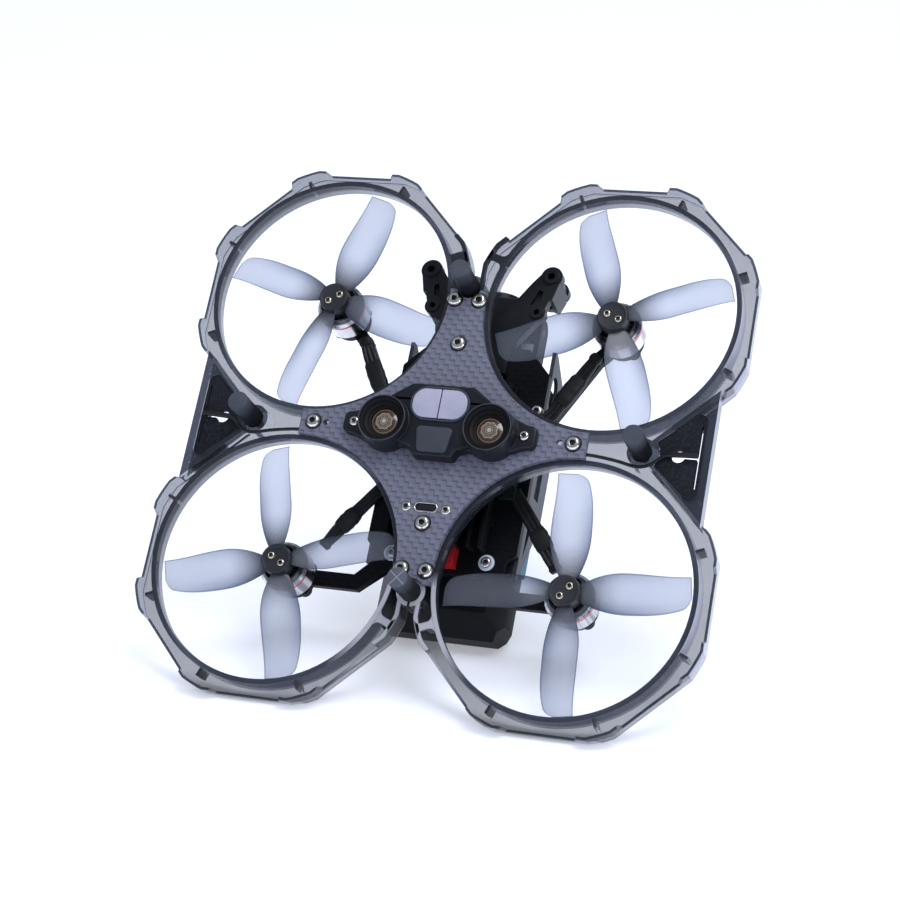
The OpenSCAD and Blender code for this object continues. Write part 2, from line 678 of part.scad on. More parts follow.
module camera_cage() color("#1a1b1f") difference() {
    union() {
        translate([0, 0, cage_z]) linear_extrude(4.19) {
            cage_2d();
            mirror([1, 0]) cage_2d();
        }
        mirror_x() {
            translate([24.4, 75, cage_z - 1]) cylinder(r = 3.1, h = 14.5);
            translate([21, 59.8, cage_z - 0.8]) cylinder(r = 2.6, h = 3);
            translate([0, 0, arm_top + 5.8]) linear_extrude(3.6) horn_tip_2d();
            // Upright web between the tiers
            translate([24.2, 66, cage_z]) rotate(-14) cube([2, 8, 14]);
        }
    }
    mirror_x() {
        translate([24.4, 75, cage_z - 2]) cylinder(r = 1.5, h = 5.2);
        translate([21, 59.8, cage_z - 2]) cylinder(r = 1.2, h = 5.2);
        translate([0, 0, cage_z - 1]) linear_extrude(3.4)
            polygon([[17.4, 62.4], [21.6, 64.6], [22.2, 68.6], [20.4, 69.4]]);
    }
    translate([0, post_screws[0].y, cage_z - 1]) cylinder(r = 3, h = 8);
    translate([0, 51, arm_z - 6]) linear_extrude(4.4) round_rect(7, 6, 1);
}

// ---- side plates ---------------------------------------------------------

module side_profile() difference() {
    polygon([[-44, arm_top], [-44, arm_top + 3], [-17, side_top], [38, side_top], [47, arm_top + 3.4],
             [47, arm_top]]);
    translate([31.5, 51.6]) rotate(8) stadium(15, 8.6);
    polygon([[-35, arm_top + 4], [-16.5, side_top - 9], [-16.5, arm_top + 4]]);
    polygon([[-10.5, arm_top + 4.6], [-10.5, side_top - 9], [17, side_top - 9], [17, arm_top + 4.6]]);
}

// Plates stand on the arm plate's edges
module side_plates() color("#6a7383") mirror_x()
    translate([side_x - 1.5, 0, 0]) rotate([90, 0, 90]) linear_extrude(1.5) side_profile();

// ---- battery bay ---------------------------------------------------------

battery_front = 8;
tray_t = 1.4;
battery_bottom = arm_top + tray_t + 0.25;

module battery_tray() color("#1e2025") difference() {
    translate([-27.9, -44, arm_top + eps]) cube([55.8, 78, tray_t]);
    for (p = post_screws) translate([p.x, p.y, arm_top - 1]) cylinder(r = 3, h = 5);
    for (p = concat(washer_at, plain_at)) translate([p.x, p.y, arm_top - 1]) cylinder(r = 1.7, h = 5);
}

module battery_socket() color("#2a2c31") difference() {
    translate([-14, battery_front + 0.4, battery_bottom + 1]) cube([28, 5, 14]);
    for (x = [-6, 6])
        translate([x, battery_front, battery_bottom + 8]) rotate([-90, 0, 0]) cylinder(r = 2.6, h = 4);
}

module flight_stack() color("#155e34") for (z = [0, 7]) {
    translate([-17, 17.5, arm_top + tray_t + 3 + z]) cube([34, 14, 1.6]);
    translate([-8, 20, arm_top + tray_t + 4.6 + z]) cube([12, 9, 1.6]);
}

module stack_cover() color("#202228") difference() {
    translate([-27.8, 14, arm_top + tray_t + 2 * eps]) cube([55.6, 20.5, side_top + 2 - arm_top - tray_t]);
    translate([-26.2, 15.6, arm_top]) cube([52.4, 17.4, side_top - arm_top + 0.4]);
    for (x = [-6, 6])
        translate([x, 12, battery_bottom + 8]) rotate([-90, 0, 0]) cylinder(r = 1.8, h = 5);
}

module gps_module() color("#d8d4c8") {
    translate([0, 24.2, side_top + 2 + 3 * eps]) linear_extrude(1.4) round_rect(20, 18, 1.5);
    translate([0, 24.2, side_top + 3.4 + eps]) linear_extrude(3.6) round_rect(16, 16, 1);
}

// ---- gimbal and camera ---------------------------------------------------

module damper_balls() color("#2c2f36") for (x = [-12, 12], z = [52, 64])
    translate([x, 34.51, z]) rotate([-90, 0, 0]) rotate_extrude()
        polygon([[0, 0], [2, 0], [2, 0.6], [3.1, 1.8], [3.4, 2.9], [3.1, 4], [2, 5.2], [2, 5.8], [0, 5.8]]);

module gimbal_bracket() color("#2b2d33") difference() {
    union() {
        translate([-19.4, 40.32, 48]) cube([38.8, 2.6, 20]);
        for (s = [-1, 1]) translate([s * 18.4 - 1, 40.32, 0]) {
            translate([0, 0, cam_z - 5]) cube([2, cam_y - 40.32, 10]);
            translate([0, cam_y - 40.32, cam_z]) rotate([0, 90, 0]) cylinder(r = 5, h = 2);
        }
    }
    translate([-30, cam_y, cam_z]) rotate([0, 90, 0]) cylinder(r = 2.05, h = 60);
    translate([-9, 38, 52]) cube([18, 8, 12]);
}

// Tilt motor can on the +X arm of the bracket
module gimbal_motor() color("#3a3d45")
    translate([19.41, cam_y, cam_z]) rotate([0, 90, 0]) tube(6.4, 2.1, 4.6);

module camera_body() color("#202227") difference() {
    union() {
        intersection() {
            translate([-14, cam_y - 11, cam_z - 11]) cube([28, 21, 22]);
            translate([-30, cam_y, cam_z]) rotate([0, 90, 0]) cylinder(r = cam_sweep, h = 60);
        }
        // Trunnions
        translate([-19.3, cam_y, cam_z]) rotate([0, 90, 0]) cylinder(r = 2, h = 42.8);
        for (x = [-17.2, 14]) translate([x, cam_y, cam_z]) rotate([0, 90, 0]) cylinder(r = 4.5, h = 3.2);
        translate([0, cam_y + 8, cam_z]) rotate([-90, 0, 0]) cylinder(r = 8.6, h = 5);
    }
    translate([0, cam_y + 9, cam_z]) rotate([-90, 0, 0]) cylinder(r = 7.2, h = 8);
}

module camera_lens() color("#10151c") translate([0, cam_y + 9.01, cam_z]) rotate([-90, 0, 0])
    intersection() {
        cylinder(r = 7.15, h = 6);
        translate([0, 0, -12]) sphere(r = 17);
    }

// ---- battery -------------------------------------------------------------

// Depth of each button inside its well when it is released
latch_sunk = 1.6;
power_sunk = 1.5;

module battery_shell() intersection() {
    // Plan: chamfered rear corners
    slab([[-battery_hw, battery_front], [battery_hw, battery_front], [battery_hw, 6 - battery_rear],
          [battery_hw - 4, -battery_rear], [4 - battery_hw, -battery_rear],
          [-battery_hw, 6 - battery_rear]], 0, 100);
    // End view: sloped lower corners
    translate([0, 40, 0]) rotate([90, 0, 0]) linear_extrude(140)
        polygon([[-20, battery_bottom], [20, battery_bottom], [battery_hw, battery_bottom + 10],
                 [battery_hw, battery_top - 4], [battery_hw - 4, battery_top],
                 [4 - battery_hw, battery_top], [-battery_hw, battery_top - 4], [-battery_hw, battery_bottom + 10]]);
    // Side view: the rear end rises
    translate([-60, 0, 0]) rotate([90, 0, 90]) linear_extrude(120)
        polygon([[20, battery_bottom], [8 - battery_rear, battery_bottom],
                 [-battery_rear, battery_bottom + 11], [-battery_rear, battery_top - 5],
                 [5 - battery_rear, battery_top], [20, battery_top]]);
}

module battery_pack() color("#26282e") difference() {
    battery_shell();
    // Wells for the release buttons and the power button
    mirror_x() translate([battery_hw - latch_sunk - latch_travel - 0.2, -38.6, 56.6]) cube([6, 15.2, 9.8]);
    translate([0, -52, battery_top - power_sunk - power_travel - 0.1]) cylinder(r = 4.6, h = 6);
    // Contact holes at the nose
    for (x = [-10, 0, 10])
        translate([x, battery_front - 3, battery_bottom + 8]) rotate([-90, 0, 0]) cylinder(r = 1.2, h = 6);
    // Grip grooves across the top
    for (i = [0 : 3]) translate([-14, -20 + i * 5, battery_top - 0.8]) cube([28, 1.6, 2]);
}

// Release pad on the +X flank; it stands proud and is pressed inwards
module latch_button() translate([battery_hw - latch_sunk, -38.4, 56.8])
    cube([latch_sunk + latch_travel + 0.6, 14.8, 9.4]);

module power_button() color("#c43a2c")
    translate([0, -52, battery_top - power_sunk]) cylinder(r = 4.5, h = power_sunk + 0.6);

// ---- assembly ------------------------------------------------------------

belly_plate();
duct_frame_right();
duct_frame_left();
side_pads();
antennas();
rubber_feet();
plate_screws();
small_screws();
vision_housing();
vision_lens_rims();
vision_lenses();
range_window();
vision_cap();
usb_port();
core_shell();
main_board();
esc_board();
heat_sink();
arm_plate();
frame_standoffs();
frame_screws();
motor_bases();
motor_stators();
motor_coils();
motor_bearings();
motor_screws();
motor_wires();
wire_collars();
camera_cage();
side_plates();
battery_tray();
battery_socket();
flight_stack();
stack_cover();
gps_module();
damper_balls();
gimbal_bracket();
gimbal_motor();
camera_body();
camera_lens();
battery_pack();
color("#0f5a78") latch_button();  // latch_button_right
color("#0f5a78") mirror([1, 0, 0]) latch_button();  // latch_button_left
power_button();
color("#e6e7ec") rotor(quads[0]) bell(screw_turn[0]);  // bell_fr
color("#9a9da6") rotor(quads[0]) magnets();  // magnets_fr
color("#aab4cc") rotor(quads[0]) propeller(blade_turn[0], screw_turn[0]);  // propeller_fr
color("#cfcabf") rotor(quads[0]) prop_screws(screw_turn[0]);  // prop_screws_fr
color("#e6e7ec") rotor(quads[1]) bell(screw_turn[1]);  // bell_fl
color("#9a9da6") rotor(quads[1]) magnets();  // magnets_fl
color("#aab4cc") rotor(quads[1]) propeller(blade_turn[1], screw_turn[1]);  // propeller_fl
color("#cfcabf") rotor(quads[1]) prop_screws(screw_turn[1]);  // prop_screws_fl
color("#e6e7ec") rotor(quads[2]) bell(screw_turn[2]);  // bell_rr
color("#9a9da6") rotor(quads[2]) magnets();  // magnets_rr
color("#aab4cc") rotor(quads[2]) propeller(blade_turn[2], screw_turn[2]);  // propeller_rr
color("#cfcabf") rotor(quads[2]) prop_screws(screw_turn[2]);  // prop_screws_rr
color("#e6e7ec") rotor(quads[3]) bell(screw_turn[3]);  // bell_rl
color("#9a9da6") rotor(quads[3]) magnets();  // magnets_rl
color("#aab4cc") rotor(quads[3]) propeller(blade_turn[3], screw_turn[3]);  // propeller_rl
color("#cfcabf") rotor(quads[3]) prop_screws(screw_turn[3]);  // prop_screws_rl
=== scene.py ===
"""Looks of a ducted four-rotor drone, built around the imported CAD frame.

Row frame, metres: +Z up, +Y forward, +X to the drone's right. The drone is seen from below,
standing on its tail, so the floor is a tilted plane under the rear ducts and the battery.
"""
import json
import math
import random

import bmesh
import bpy
from mathutils import Matrix, Vector

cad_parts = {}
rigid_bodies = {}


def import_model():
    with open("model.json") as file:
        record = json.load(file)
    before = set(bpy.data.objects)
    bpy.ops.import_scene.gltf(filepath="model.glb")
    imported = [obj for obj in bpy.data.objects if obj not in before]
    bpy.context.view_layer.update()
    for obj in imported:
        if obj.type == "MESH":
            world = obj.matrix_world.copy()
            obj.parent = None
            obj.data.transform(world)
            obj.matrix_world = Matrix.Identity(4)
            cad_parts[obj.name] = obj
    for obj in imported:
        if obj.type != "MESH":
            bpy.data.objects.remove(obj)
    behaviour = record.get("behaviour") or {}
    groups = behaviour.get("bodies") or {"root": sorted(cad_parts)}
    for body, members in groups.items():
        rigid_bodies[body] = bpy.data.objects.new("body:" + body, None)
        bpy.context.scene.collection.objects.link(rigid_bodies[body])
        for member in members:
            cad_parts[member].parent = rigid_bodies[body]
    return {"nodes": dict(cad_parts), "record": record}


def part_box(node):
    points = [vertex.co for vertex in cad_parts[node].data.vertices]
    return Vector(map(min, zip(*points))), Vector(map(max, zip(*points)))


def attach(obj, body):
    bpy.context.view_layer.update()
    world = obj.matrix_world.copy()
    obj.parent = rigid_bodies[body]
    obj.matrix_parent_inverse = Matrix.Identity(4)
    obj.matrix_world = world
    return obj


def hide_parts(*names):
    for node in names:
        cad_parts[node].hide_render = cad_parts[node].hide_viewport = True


for leftover in list(bpy.data.objects):
    bpy.data.objects.remove(leftover)
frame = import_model()
nodes = frame["nodes"]
bpy.context.view_layer.update()

MM = 0.001
BODY_OF = {node: body for body, members in frame["record"]["behaviour"]["bodies"].items()
           for node in members}
SLOT_OF = {part["node"]: part["material_slot"] for part in frame["record"]["subparts"]}
# Signs of each rotor's place, as (towards +X, towards +Y)
ROTORS = {"fr": (1, 1), "fl": (-1, 1), "rr": (1, -1), "rl": (-1, -1)}
random.seed(7)


# ---- node helpers ---------------------------------------------------------

class Shader:
    """A small builder for materials and worlds: every call adds one node and returns its output."""

    def __init__(self, world=None):
        self.owner = world or bpy.data.materials.new("look")
        self.owner.use_nodes = True
        self.nodes = self.owner.node_tree.nodes
        self.links = self.owner.node_tree.links
        self.nodes.clear()
        self.out = self.nodes.new("ShaderNodeOutput" + ("World" if world else "Material"))
        self.coord = self.node("TexCoord", {}, "Object")

    def put(self, socket, value):
        if isinstance(value, bpy.types.NodeSocket):
            self.links.new(value, socket)
        elif hasattr(value, "__len__") and socket.type == "RGBA" and len(value) == 3:
            socket.default_value = (*value, 1.0)
        else:
            socket.default_value = value

    def node(self, kind, inputs, output=0, **settings):
        node = self.nodes.new("ShaderNode" + kind)
        for name, value in settings.items():
            setattr(node, name, value)
        for name, value in inputs.items():
            if value is not None:
                self.put(node.inputs[name], value)
        return node.outputs[output]

    def math(self, operation, a, b=0.0, clamp=False):
        return self.node("Math", {0: a, 1: b}, operation=operation, use_clamp=clamp)

    def plus(self, a, b, clamp=False):
        return self.math("ADD", a, b, clamp=clamp)

    def minus(self, a, b):
        return self.math("SUBTRACT", a, b)

    def times(self, a, b, clamp=False):
        return self.math("MULTIPLY", a, b, clamp=clamp)

    def size(self, a):
        return self.math("ABSOLUTE", a)

    def distance(self, a, b):
        return self.math("SQRT", self.plus(self.times(a, a), self.times(b, b)))

    def noise(self, scale, detail=3.0, rough=0.55, coord=None):
        return self.node("TexNoise", {"Vector": coord or self.coord, "Scale": scale, "Detail": detail,
                                      "Roughness": rough}, "Fac")

    def ramp(self, factor, low, high, start=0.0, end=1.0):
        return self.node("MapRange", {"Value": factor, "From Min": start, "From Max": end, "To Min": low,
                                      "To Max": high}, "Result", clamp=True)

    def mix(self, factor, a, b):
        node = self.nodes.new("ShaderNodeMix")
        node.data_type = "RGBA"
        self.put(node.inputs["Factor"], factor)
        colours = [s for s in node.inputs if s.type == "RGBA"]
        self.put(colours[0], a)
        self.put(colours[1], b)
        return [s for s in node.outputs if s.type == "RGBA"][0]

    def split(self, vector):
        node = self.nodes.new("ShaderNodeSeparateXYZ")
        self.put(node.inputs[0], vector)
        return node.outputs

    def stretch(self, scale):
        return self.node("Mapping", {"Vector": self.coord, "Scale": scale})

    def bump(self, height, strength, distance, normal=None):
        return self.node("Bump", {"Height": height, "Strength": strength, "Distance": distance,
                                  "Normal": normal})

    def soft_normal(self, radius):
        """A normal that rounds every edge a little, so that edges catch the light."""
        return self.node("Bevel", {"Radius": radius}, samples=4)

    def edge(self, radius=0.0004, gain=1.0):
        """How far a point is from a flat surface: 1 on an edge, 0 on a flat."""
        flat = self.node("NewGeometry", {}, "Normal")
        dot = self.node("VectorMath", {0: self.soft_normal(radius), 1: flat}, "Value",
                        operation="DOT_PRODUCT")
        return self.ramp(dot, gain, 0.0, 0.80, 0.995)

    def facing(self, blend=0.5):
        return self.node("LayerWeight", {"Blend": blend}, "Facing")

    def principled(self, colour, rough, normal, metal=0.0, **extra):
        named = {name.replace("_", " "): value for name, value in extra.items()}
        return self.node("BsdfPrincipled", {"Base Color": colour, "Roughness": rough, "Metallic": metal,
                                            "Normal": normal, **named})

    def blend(self, factor, first, second):
        return self.node("MixShader", {0: factor, 1: first, 2: second})

    def attribute(self, name):
        return self.node("Attribute", {}, "Fac", attribute_name=name)

    def normal_axes(self):
        """The three parts of the true face normal, in the row frame."""
        return self.split(self.node("NewGeometry", {}, "True Normal"))

    def band(self, value, low, high, soft):
        """1 between low and high, fading to 0 over soft on both sides."""
        rise = self.ramp(value, 0.0, 1.0, low - soft, low + soft)
        fall = self.ramp(value, 1.0, 0.0, high - soft, high + soft)
        return self.times(rise, fall)

    def clear(self, colour=(1, 1, 1)):
        return self.node("BsdfTransparent", {0: colour})

    def done(self, surface):
        self.links.new(surface, self.out.inputs["Surface"])
        return self.owner


# ---- shape helpers --------------------------------------------------------

def link_new(name, data):
    made = bpy.data.objects.new(name, data)
    bpy.context.scene.collection.objects.link(made)
    return made


def add_piece(name, bm, material, stands_for=None, body="airframe", slot=None, sharp=38.0, second=None):
    """Makes a smooth-shaded object from a bmesh, in the row frame, riding on a CAD body.

    The body is that of the CAD node it stands for, if there is one. A material is one of
    MATERIALS' names, or a material itself.
    """
    bmesh.ops.recalc_face_normals(bm, faces=bm.faces)
    mesh = bpy.data.meshes.new(name)
    bm.to_mesh(mesh)
    bm.free()
    for face in mesh.polygons:
        face.use_smooth = True
    mesh.set_sharp_from_angle(angle=math.radians(sharp))
    for look in filter(None, (material, second)):
        mesh.materials.append(MATERIALS.get(look, look))
    piece = link_new(name, mesh)
    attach(piece, BODY_OF.get(stands_for, body))
    if stands_for:
        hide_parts(stands_for)
        slot = slot or SLOT_OF[stands_for]
    return piece


def middle(node):
    """Centre of a CAD node's box."""
    low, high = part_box(node)
    return (Vector(low) + Vector(high)) / 2


def in_mm(points):
    return [tuple(value * MM for value in point) for point in points]


def join_rings(bm, rings):
    """Quads between every ring of vertices and the next."""
    for low, high in zip(rings, rings[1:]):
        for j in range(len(low)):
            i = (j + 1) % len(low)
            bm.faces.new((low[j], low[i], high[i], high[j]))


def node_bmesh(name):
    bm = bmesh.new()
    bm.from_mesh(nodes[name].data)
    bmesh.ops.remove_doubles(bm, verts=bm.verts, dist=0.002 * MM)
    return bm


def islands(name):
    """(lowest, highest) corner of every separate solid in a CAD node, in a fixed order."""
    bm = node_bmesh(name)
    seen, boxes = set(), []
    for start in bm.verts:
        if start.index in seen:
            continue
        seen.add(start.index)
        queue, found = [start], []
        while queue:
            vert = queue.pop()
            found.append(vert.co.copy())
            for edge in vert.link_edges:
                other = edge.other_vert(vert)
                if other.index not in seen:
                    seen.add(other.index)
                    queue.append(other)
        boxes.append((Vector([min(c[k] for c in found) for k in range(3)]),
                      Vector([max(c[k] for c in found) for k in range(3)])))
    bm.free()
    return sorted(boxes, key=lambda b: tuple(round(v, 5) for v in b[0]))


def refine(name, width, segments=2, angle=34.0, planar=0.6):
    """Stands for a CAD node: the same shape, with real rounded edges."""
    bm = node_bmesh(name)
    bmesh.ops.dissolve_limit(bm, angle_limit=math.radians(planar), verts=bm.verts, edges=bm.edges)
    piece = add_piece(name + "_fine", bm, SLOT_OF[name], name, sharp=180.0)
    custom = piece.data.attributes.get("custom_normal")
    if custom:
        piece.data.attributes.remove(custom)
    edges = piece.modifiers.new("edges", "BEVEL")
    edges.width = width
    edges.segments = segments
    edges.limit_method = "ANGLE"
    edges.angle_limit = math.radians(angle)
    edges.harden_normals = True
    weighted = piece.modifiers.new("normals", "WEIGHTED_NORMAL")
    weighted.keep_sharp = True
    return piece


def lathe(bm, profile, at, up=1.0, steps=48, turn=0.0, dark_rings=0):
    """Turns (radius, height[, sides]) points round the upright line through at.

    A third value gives that ring a polygon's outline, such as 6 for a hex socket. The first
    dark_rings strips take the mesh's second material.
    """
    rings = []
    for entry in profile:
        radius, height = entry[0], entry[1]
        centre = at + Vector((0.0, 0.0, up * height))
        if radius == 0.0:
            rings.append([bm.verts.new(centre)])
            continue
        ring = []
        for k in range(steps):
            a = 2.0 * math.pi * k / steps
            r = radius
            if len(entry) > 2:
                half = math.pi / entry[2]
                r = radius * math.cos(half) / math.cos(a % (2.0 * half) - half)
            ring.append(bm.verts.new(centre + r * Vector((math.cos(a + turn), math.sin(a + turn), 0.0))))
        rings.append(ring)
    for strip, (low, high) in enumerate(zip(rings, rings[1:])):
        for k in range(steps):
            j = (k + 1) % steps
            corners = [low[k % len(low)], low[j % len(low)], high[j % len(high)], high[k % len(high)]]
            unique = list(dict.fromkeys(corners))
            if len(unique) > 2:
                bm.faces.new(unique).material_index = 1 if strip < dark_rings else 0


def smooth_path(points, between=6):
    """Catmull-Rom curve through the points."""
    points = [Vector(p) for p in points]
    padded = [2 * points[0] - points[1], *points, 2 * points[-1] - points[-2]]
    curve = []
    for a, b, c, d in zip(padded, padded[1:], padded[2:], padded[3:]):
        for k in range(between):
            t = k / between
            curve.append(0.5 * (2 * b + (c - a) * t + (2 * a - 5 * b + 4 * c - d) * t ** 2
                                + (3 * b - a - 3 * c + d) * t ** 3))
    curve.append(points[-1])
    return curve


def sweep(bm, path, across, tall, sides=20, square=2.0, closed=False):
    """A tube along path; across(t) and tall(t) give its half sizes at t from 0 to 1."""
    count, up = len(path), Vector((0.0, 0.0, 1.0))
    rings = []
    for k, point in enumerate(path):
        before = path[(k - 1) % count if closed else max(k - 1, 0)]
        after = path[(k + 1) % count if closed else min(k + 1, count - 1)]
        along = (after - before).normalized()
        side = along.cross(up).normalized()
        top = side.cross(along)
        t = k / (count - 1)
        ring = []
        for j in range(sides):
            a = 2.0 * math.pi * j / sides
            c, d = math.cos(a), math.sin(a)
            x = math.copysign(abs(c) ** (2.0 / square), c) * across(t)
            z = math.copysign(abs(d) ** (2.0 / square), d) * tall(t)
            ring.append(bm.verts.new(point + x * side + z * top))
        rings.append(ring)
    join_rings(bm, rings + rings[:1] if closed else rings)
    if not closed:
        bm.faces.new(list(reversed(rings[0])))
        bm.faces.new(rings[-1])


def fillet(corners, radius, steps=6):
    """Rounds the corners of a closed outline given as (x, y) points."""
    rounded = []
    corners = [Vector(c) for c in corners]
    for k, here in enumerate(corners):
        back = corners[k - 1] - here
        ahead = corners[(k + 1) % len(corners)] - here
        half = back.angle(ahead) / 2.0
        reach = min(radius / math.tan(half), 0.48 * back.length, 0.48 * ahead.length)
        arc = reach * math.tan(half)
        start, end = here + reach * back.normalized(), here + reach * ahead.normalized()
        centre = here + (back.normalized() + ahead.normalized()).normalized() * math.hypot(arc, reach)
        a, b = start - centre, end - centre
        turn = math.atan2(a.x * b.y - a.y * b.x, a.dot(b))
        for j in range(steps + 1):
            spin = turn * j / steps
            c, d = math.cos(spin), math.sin(spin)
            rounded.append(centre + Vector((a.x * c - a.y * d, a.x * d + a.y * c)))
    return rounded


def pillow(bm, outline, base, face, edge, rounds=4):
    """A plate from height base to height face whose rim at the face is rounded by edge."""
    count = len(outline)
    area = sum(outline[k - 1].x * outline[k].y - outline[k - 1].y * outline[k].x for k in range(count))
    spin = 1.0 if area > 0 else -1.0
    inward = []
    for k in range(count):
        a = (outline[k] - outline[k - 1]).normalized()
        b = (outline[(k + 1) % count] - outline[k]).normalized()
        tangent = (a + b).normalized()
        inward.append(spin * Vector((-tangent.y, tangent.x)))
    step = 1.0 if face > base else -1.0
    levels = [(0.0, base)]
    for k in range(rounds + 1):
        a = math.pi / 2 * k / rounds
        levels.append((edge * (1 - math.cos(a)), face - step * edge * (1 - math.sin(a))))
    rings = [[bm.verts.new((p.x + shift * n.x, p.y + shift * n.y, z)) for p, n in zip(outline, inward)]
             for shift, z in levels]
    join_rings(bm, rings)
    bm.faces.new(rings[0])
    bm.faces.new(rings[-1])


# ---- materials ------------------------------------------------------------

def carbon_weave(gain, shine=0.5):
    """Plain weave of flat tows: each tow dives under its neighbour, with painted shade on that side as if
    lit from one side.
    """
    s = Shader()
    shade = lambda r, g, b: (0.93 * gain * r, 0.99 * gain * g, 1.15 * gain * b)
    tow = 2.05 * MM
    x, y, _ = s.split(s.coord)
    warp = s.plus(s.math("DIVIDE", x, tow), s.times(s.noise(60.0, 1.0), 0.16))
    weft = s.plus(s.math("DIVIDE", y, tow), s.times(s.noise(75.0, 1.0), 0.16))
    cell = s.plus(s.math("FLOOR", warp), s.math("FLOOR", weft))
    warp_up = s.math("LESS_THAN", s.math("FLOORED_MODULO", cell, 2.0), 1.0)
    weft_up = s.minus(1.0, warp_up)
    in_u, in_v = s.math("FRACT", warp), s.math("FRACT", weft)
    # Painted shade: a dark dash at one end of each warp tow, standing in for the shadow of a light from one
    # side
    tow_end_shade = s.times(s.band(in_v, 0.04, 0.34, 0.17), s.band(in_u, 0.06, 0.94, 0.10))
    tow_end_shade = s.times(tow_end_shade, warp_up)
    # Painted shade: a weaker dark seam along one side of each weft tow
    tow_side_shade = s.times(s.band(in_u, 0.0, 0.20, 0.12), weft_up)
    arch = s.plus(s.times(s.math("SINE", s.times(in_v, math.pi)), warp_up),
                  s.times(s.math("SINE", s.times(in_u, math.pi)), weft_up))
    threads_x = s.noise(1.0, 2.0, 0.5, s.stretch((5200.0, 240.0, 240.0)))
    threads_y = s.noise(1.0, 2.0, 0.5, s.stretch((240.0, 5200.0, 240.0)))
    threads = s.plus(s.times(threads_x, warp_up), s.times(threads_y, weft_up))
    tone = s.mix(warp_up, shade(0.125, 0.127, 0.168), shade(0.142, 0.144, 0.188))
    tone = s.mix(s.ramp(threads, 0.0, 0.5, 0.3, 0.8), tone, shade(0.185, 0.188, 0.235))
    tone = s.mix(s.times(tow_end_shade, 0.96), tone, shade(0.040, 0.043, 0.074))
    tone = s.mix(s.times(tow_side_shade, 0.85), tone, shade(0.058, 0.062, 0.098))
    tone = s.mix(s.edge(0.0005), tone, (0.028, 0.03, 0.038))
    normal = s.bump(arch, 0.25, 0.0001, s.bump(threads, 0.12, 0.00003, s.soft_normal(0.00025)))
    rough = s.ramp(s.noise(90.0), 0.42, 0.56)
    return s.done(s.principled(tone, rough, normal, Specular_IOR_Level=shine,
                               Coat_Weight=0.24 * shine, Coat_Roughness=0.35))


def moulded(colour, light, rough=0.45, grain=1400.0, depth=0.25, edge_highlight=0.5, rounding=0.35,
            shine=0.35, speckle=0.0):
    """Moulded plastic: a fine spark-eroded grain, uneven sheen and a painted highlight along its edges."""
    s = Shader()
    cloud = s.noise(55.0, 4.0)
    fine = s.noise(grain, 2.0)
    tone = s.mix(s.ramp(cloud, 0.0, 1.0, 0.3, 0.7), colour, light)
    tone = s.mix(s.ramp(fine, 0.0, speckle, 0.52, 0.68), tone, tuple(min(1.0, 3.0 * c) for c in light))
    # Painted highlight: edges are lightened as if they caught the lamps
    tone = s.mix(s.edge(0.00035, edge_highlight), tone, tuple(min(1.0, 1.9 * c + 0.024) for c in light))
    normal = s.bump(fine, depth, 0.00006, s.bump(cloud, 0.06, 0.0004, s.soft_normal(rounding * MM)))
    return s.done(s.principled(tone, s.ramp(cloud, rough - 0.07, rough + 0.1), normal,
                               Specular_IOR_Level=shine))


def metal(colour, rough=0.28, streak=(60.0, 60.0, 2400.0), wear=(0.9, 0.9, 0.9)):
    """Turned metal: fine lines, a few smudges, brighter edges and a painted dark reflection on the flanks.
    """
    s = Shader()
    lines = s.noise(1.0, 3.0, 0.6, s.stretch(streak))
    smudge = s.noise(130.0, 4.0)
    tone = s.mix(s.ramp(smudge, 0.0, 0.35), colour, tuple(0.6 * c for c in colour))
    tone = s.mix(s.edge(0.0003, 0.6), tone, wear)
    normal = s.bump(lines, 0.12, 0.00003, s.soft_normal(0.00015))
    # Painted reflection: a dark band where the surface turns from the camera, standing in for a dark room
    # seen in the metal
    flank = s.band(s.facing(0.5), 0.34, 0.62, 0.10)
    tone = s.mix(s.times(flank, 0.75), tone, tuple(0.16 * c for c in colour))
    return s.done(s.principled(tone, s.ramp(smudge, rough - 0.08, rough + 0.12), normal, 1.0))


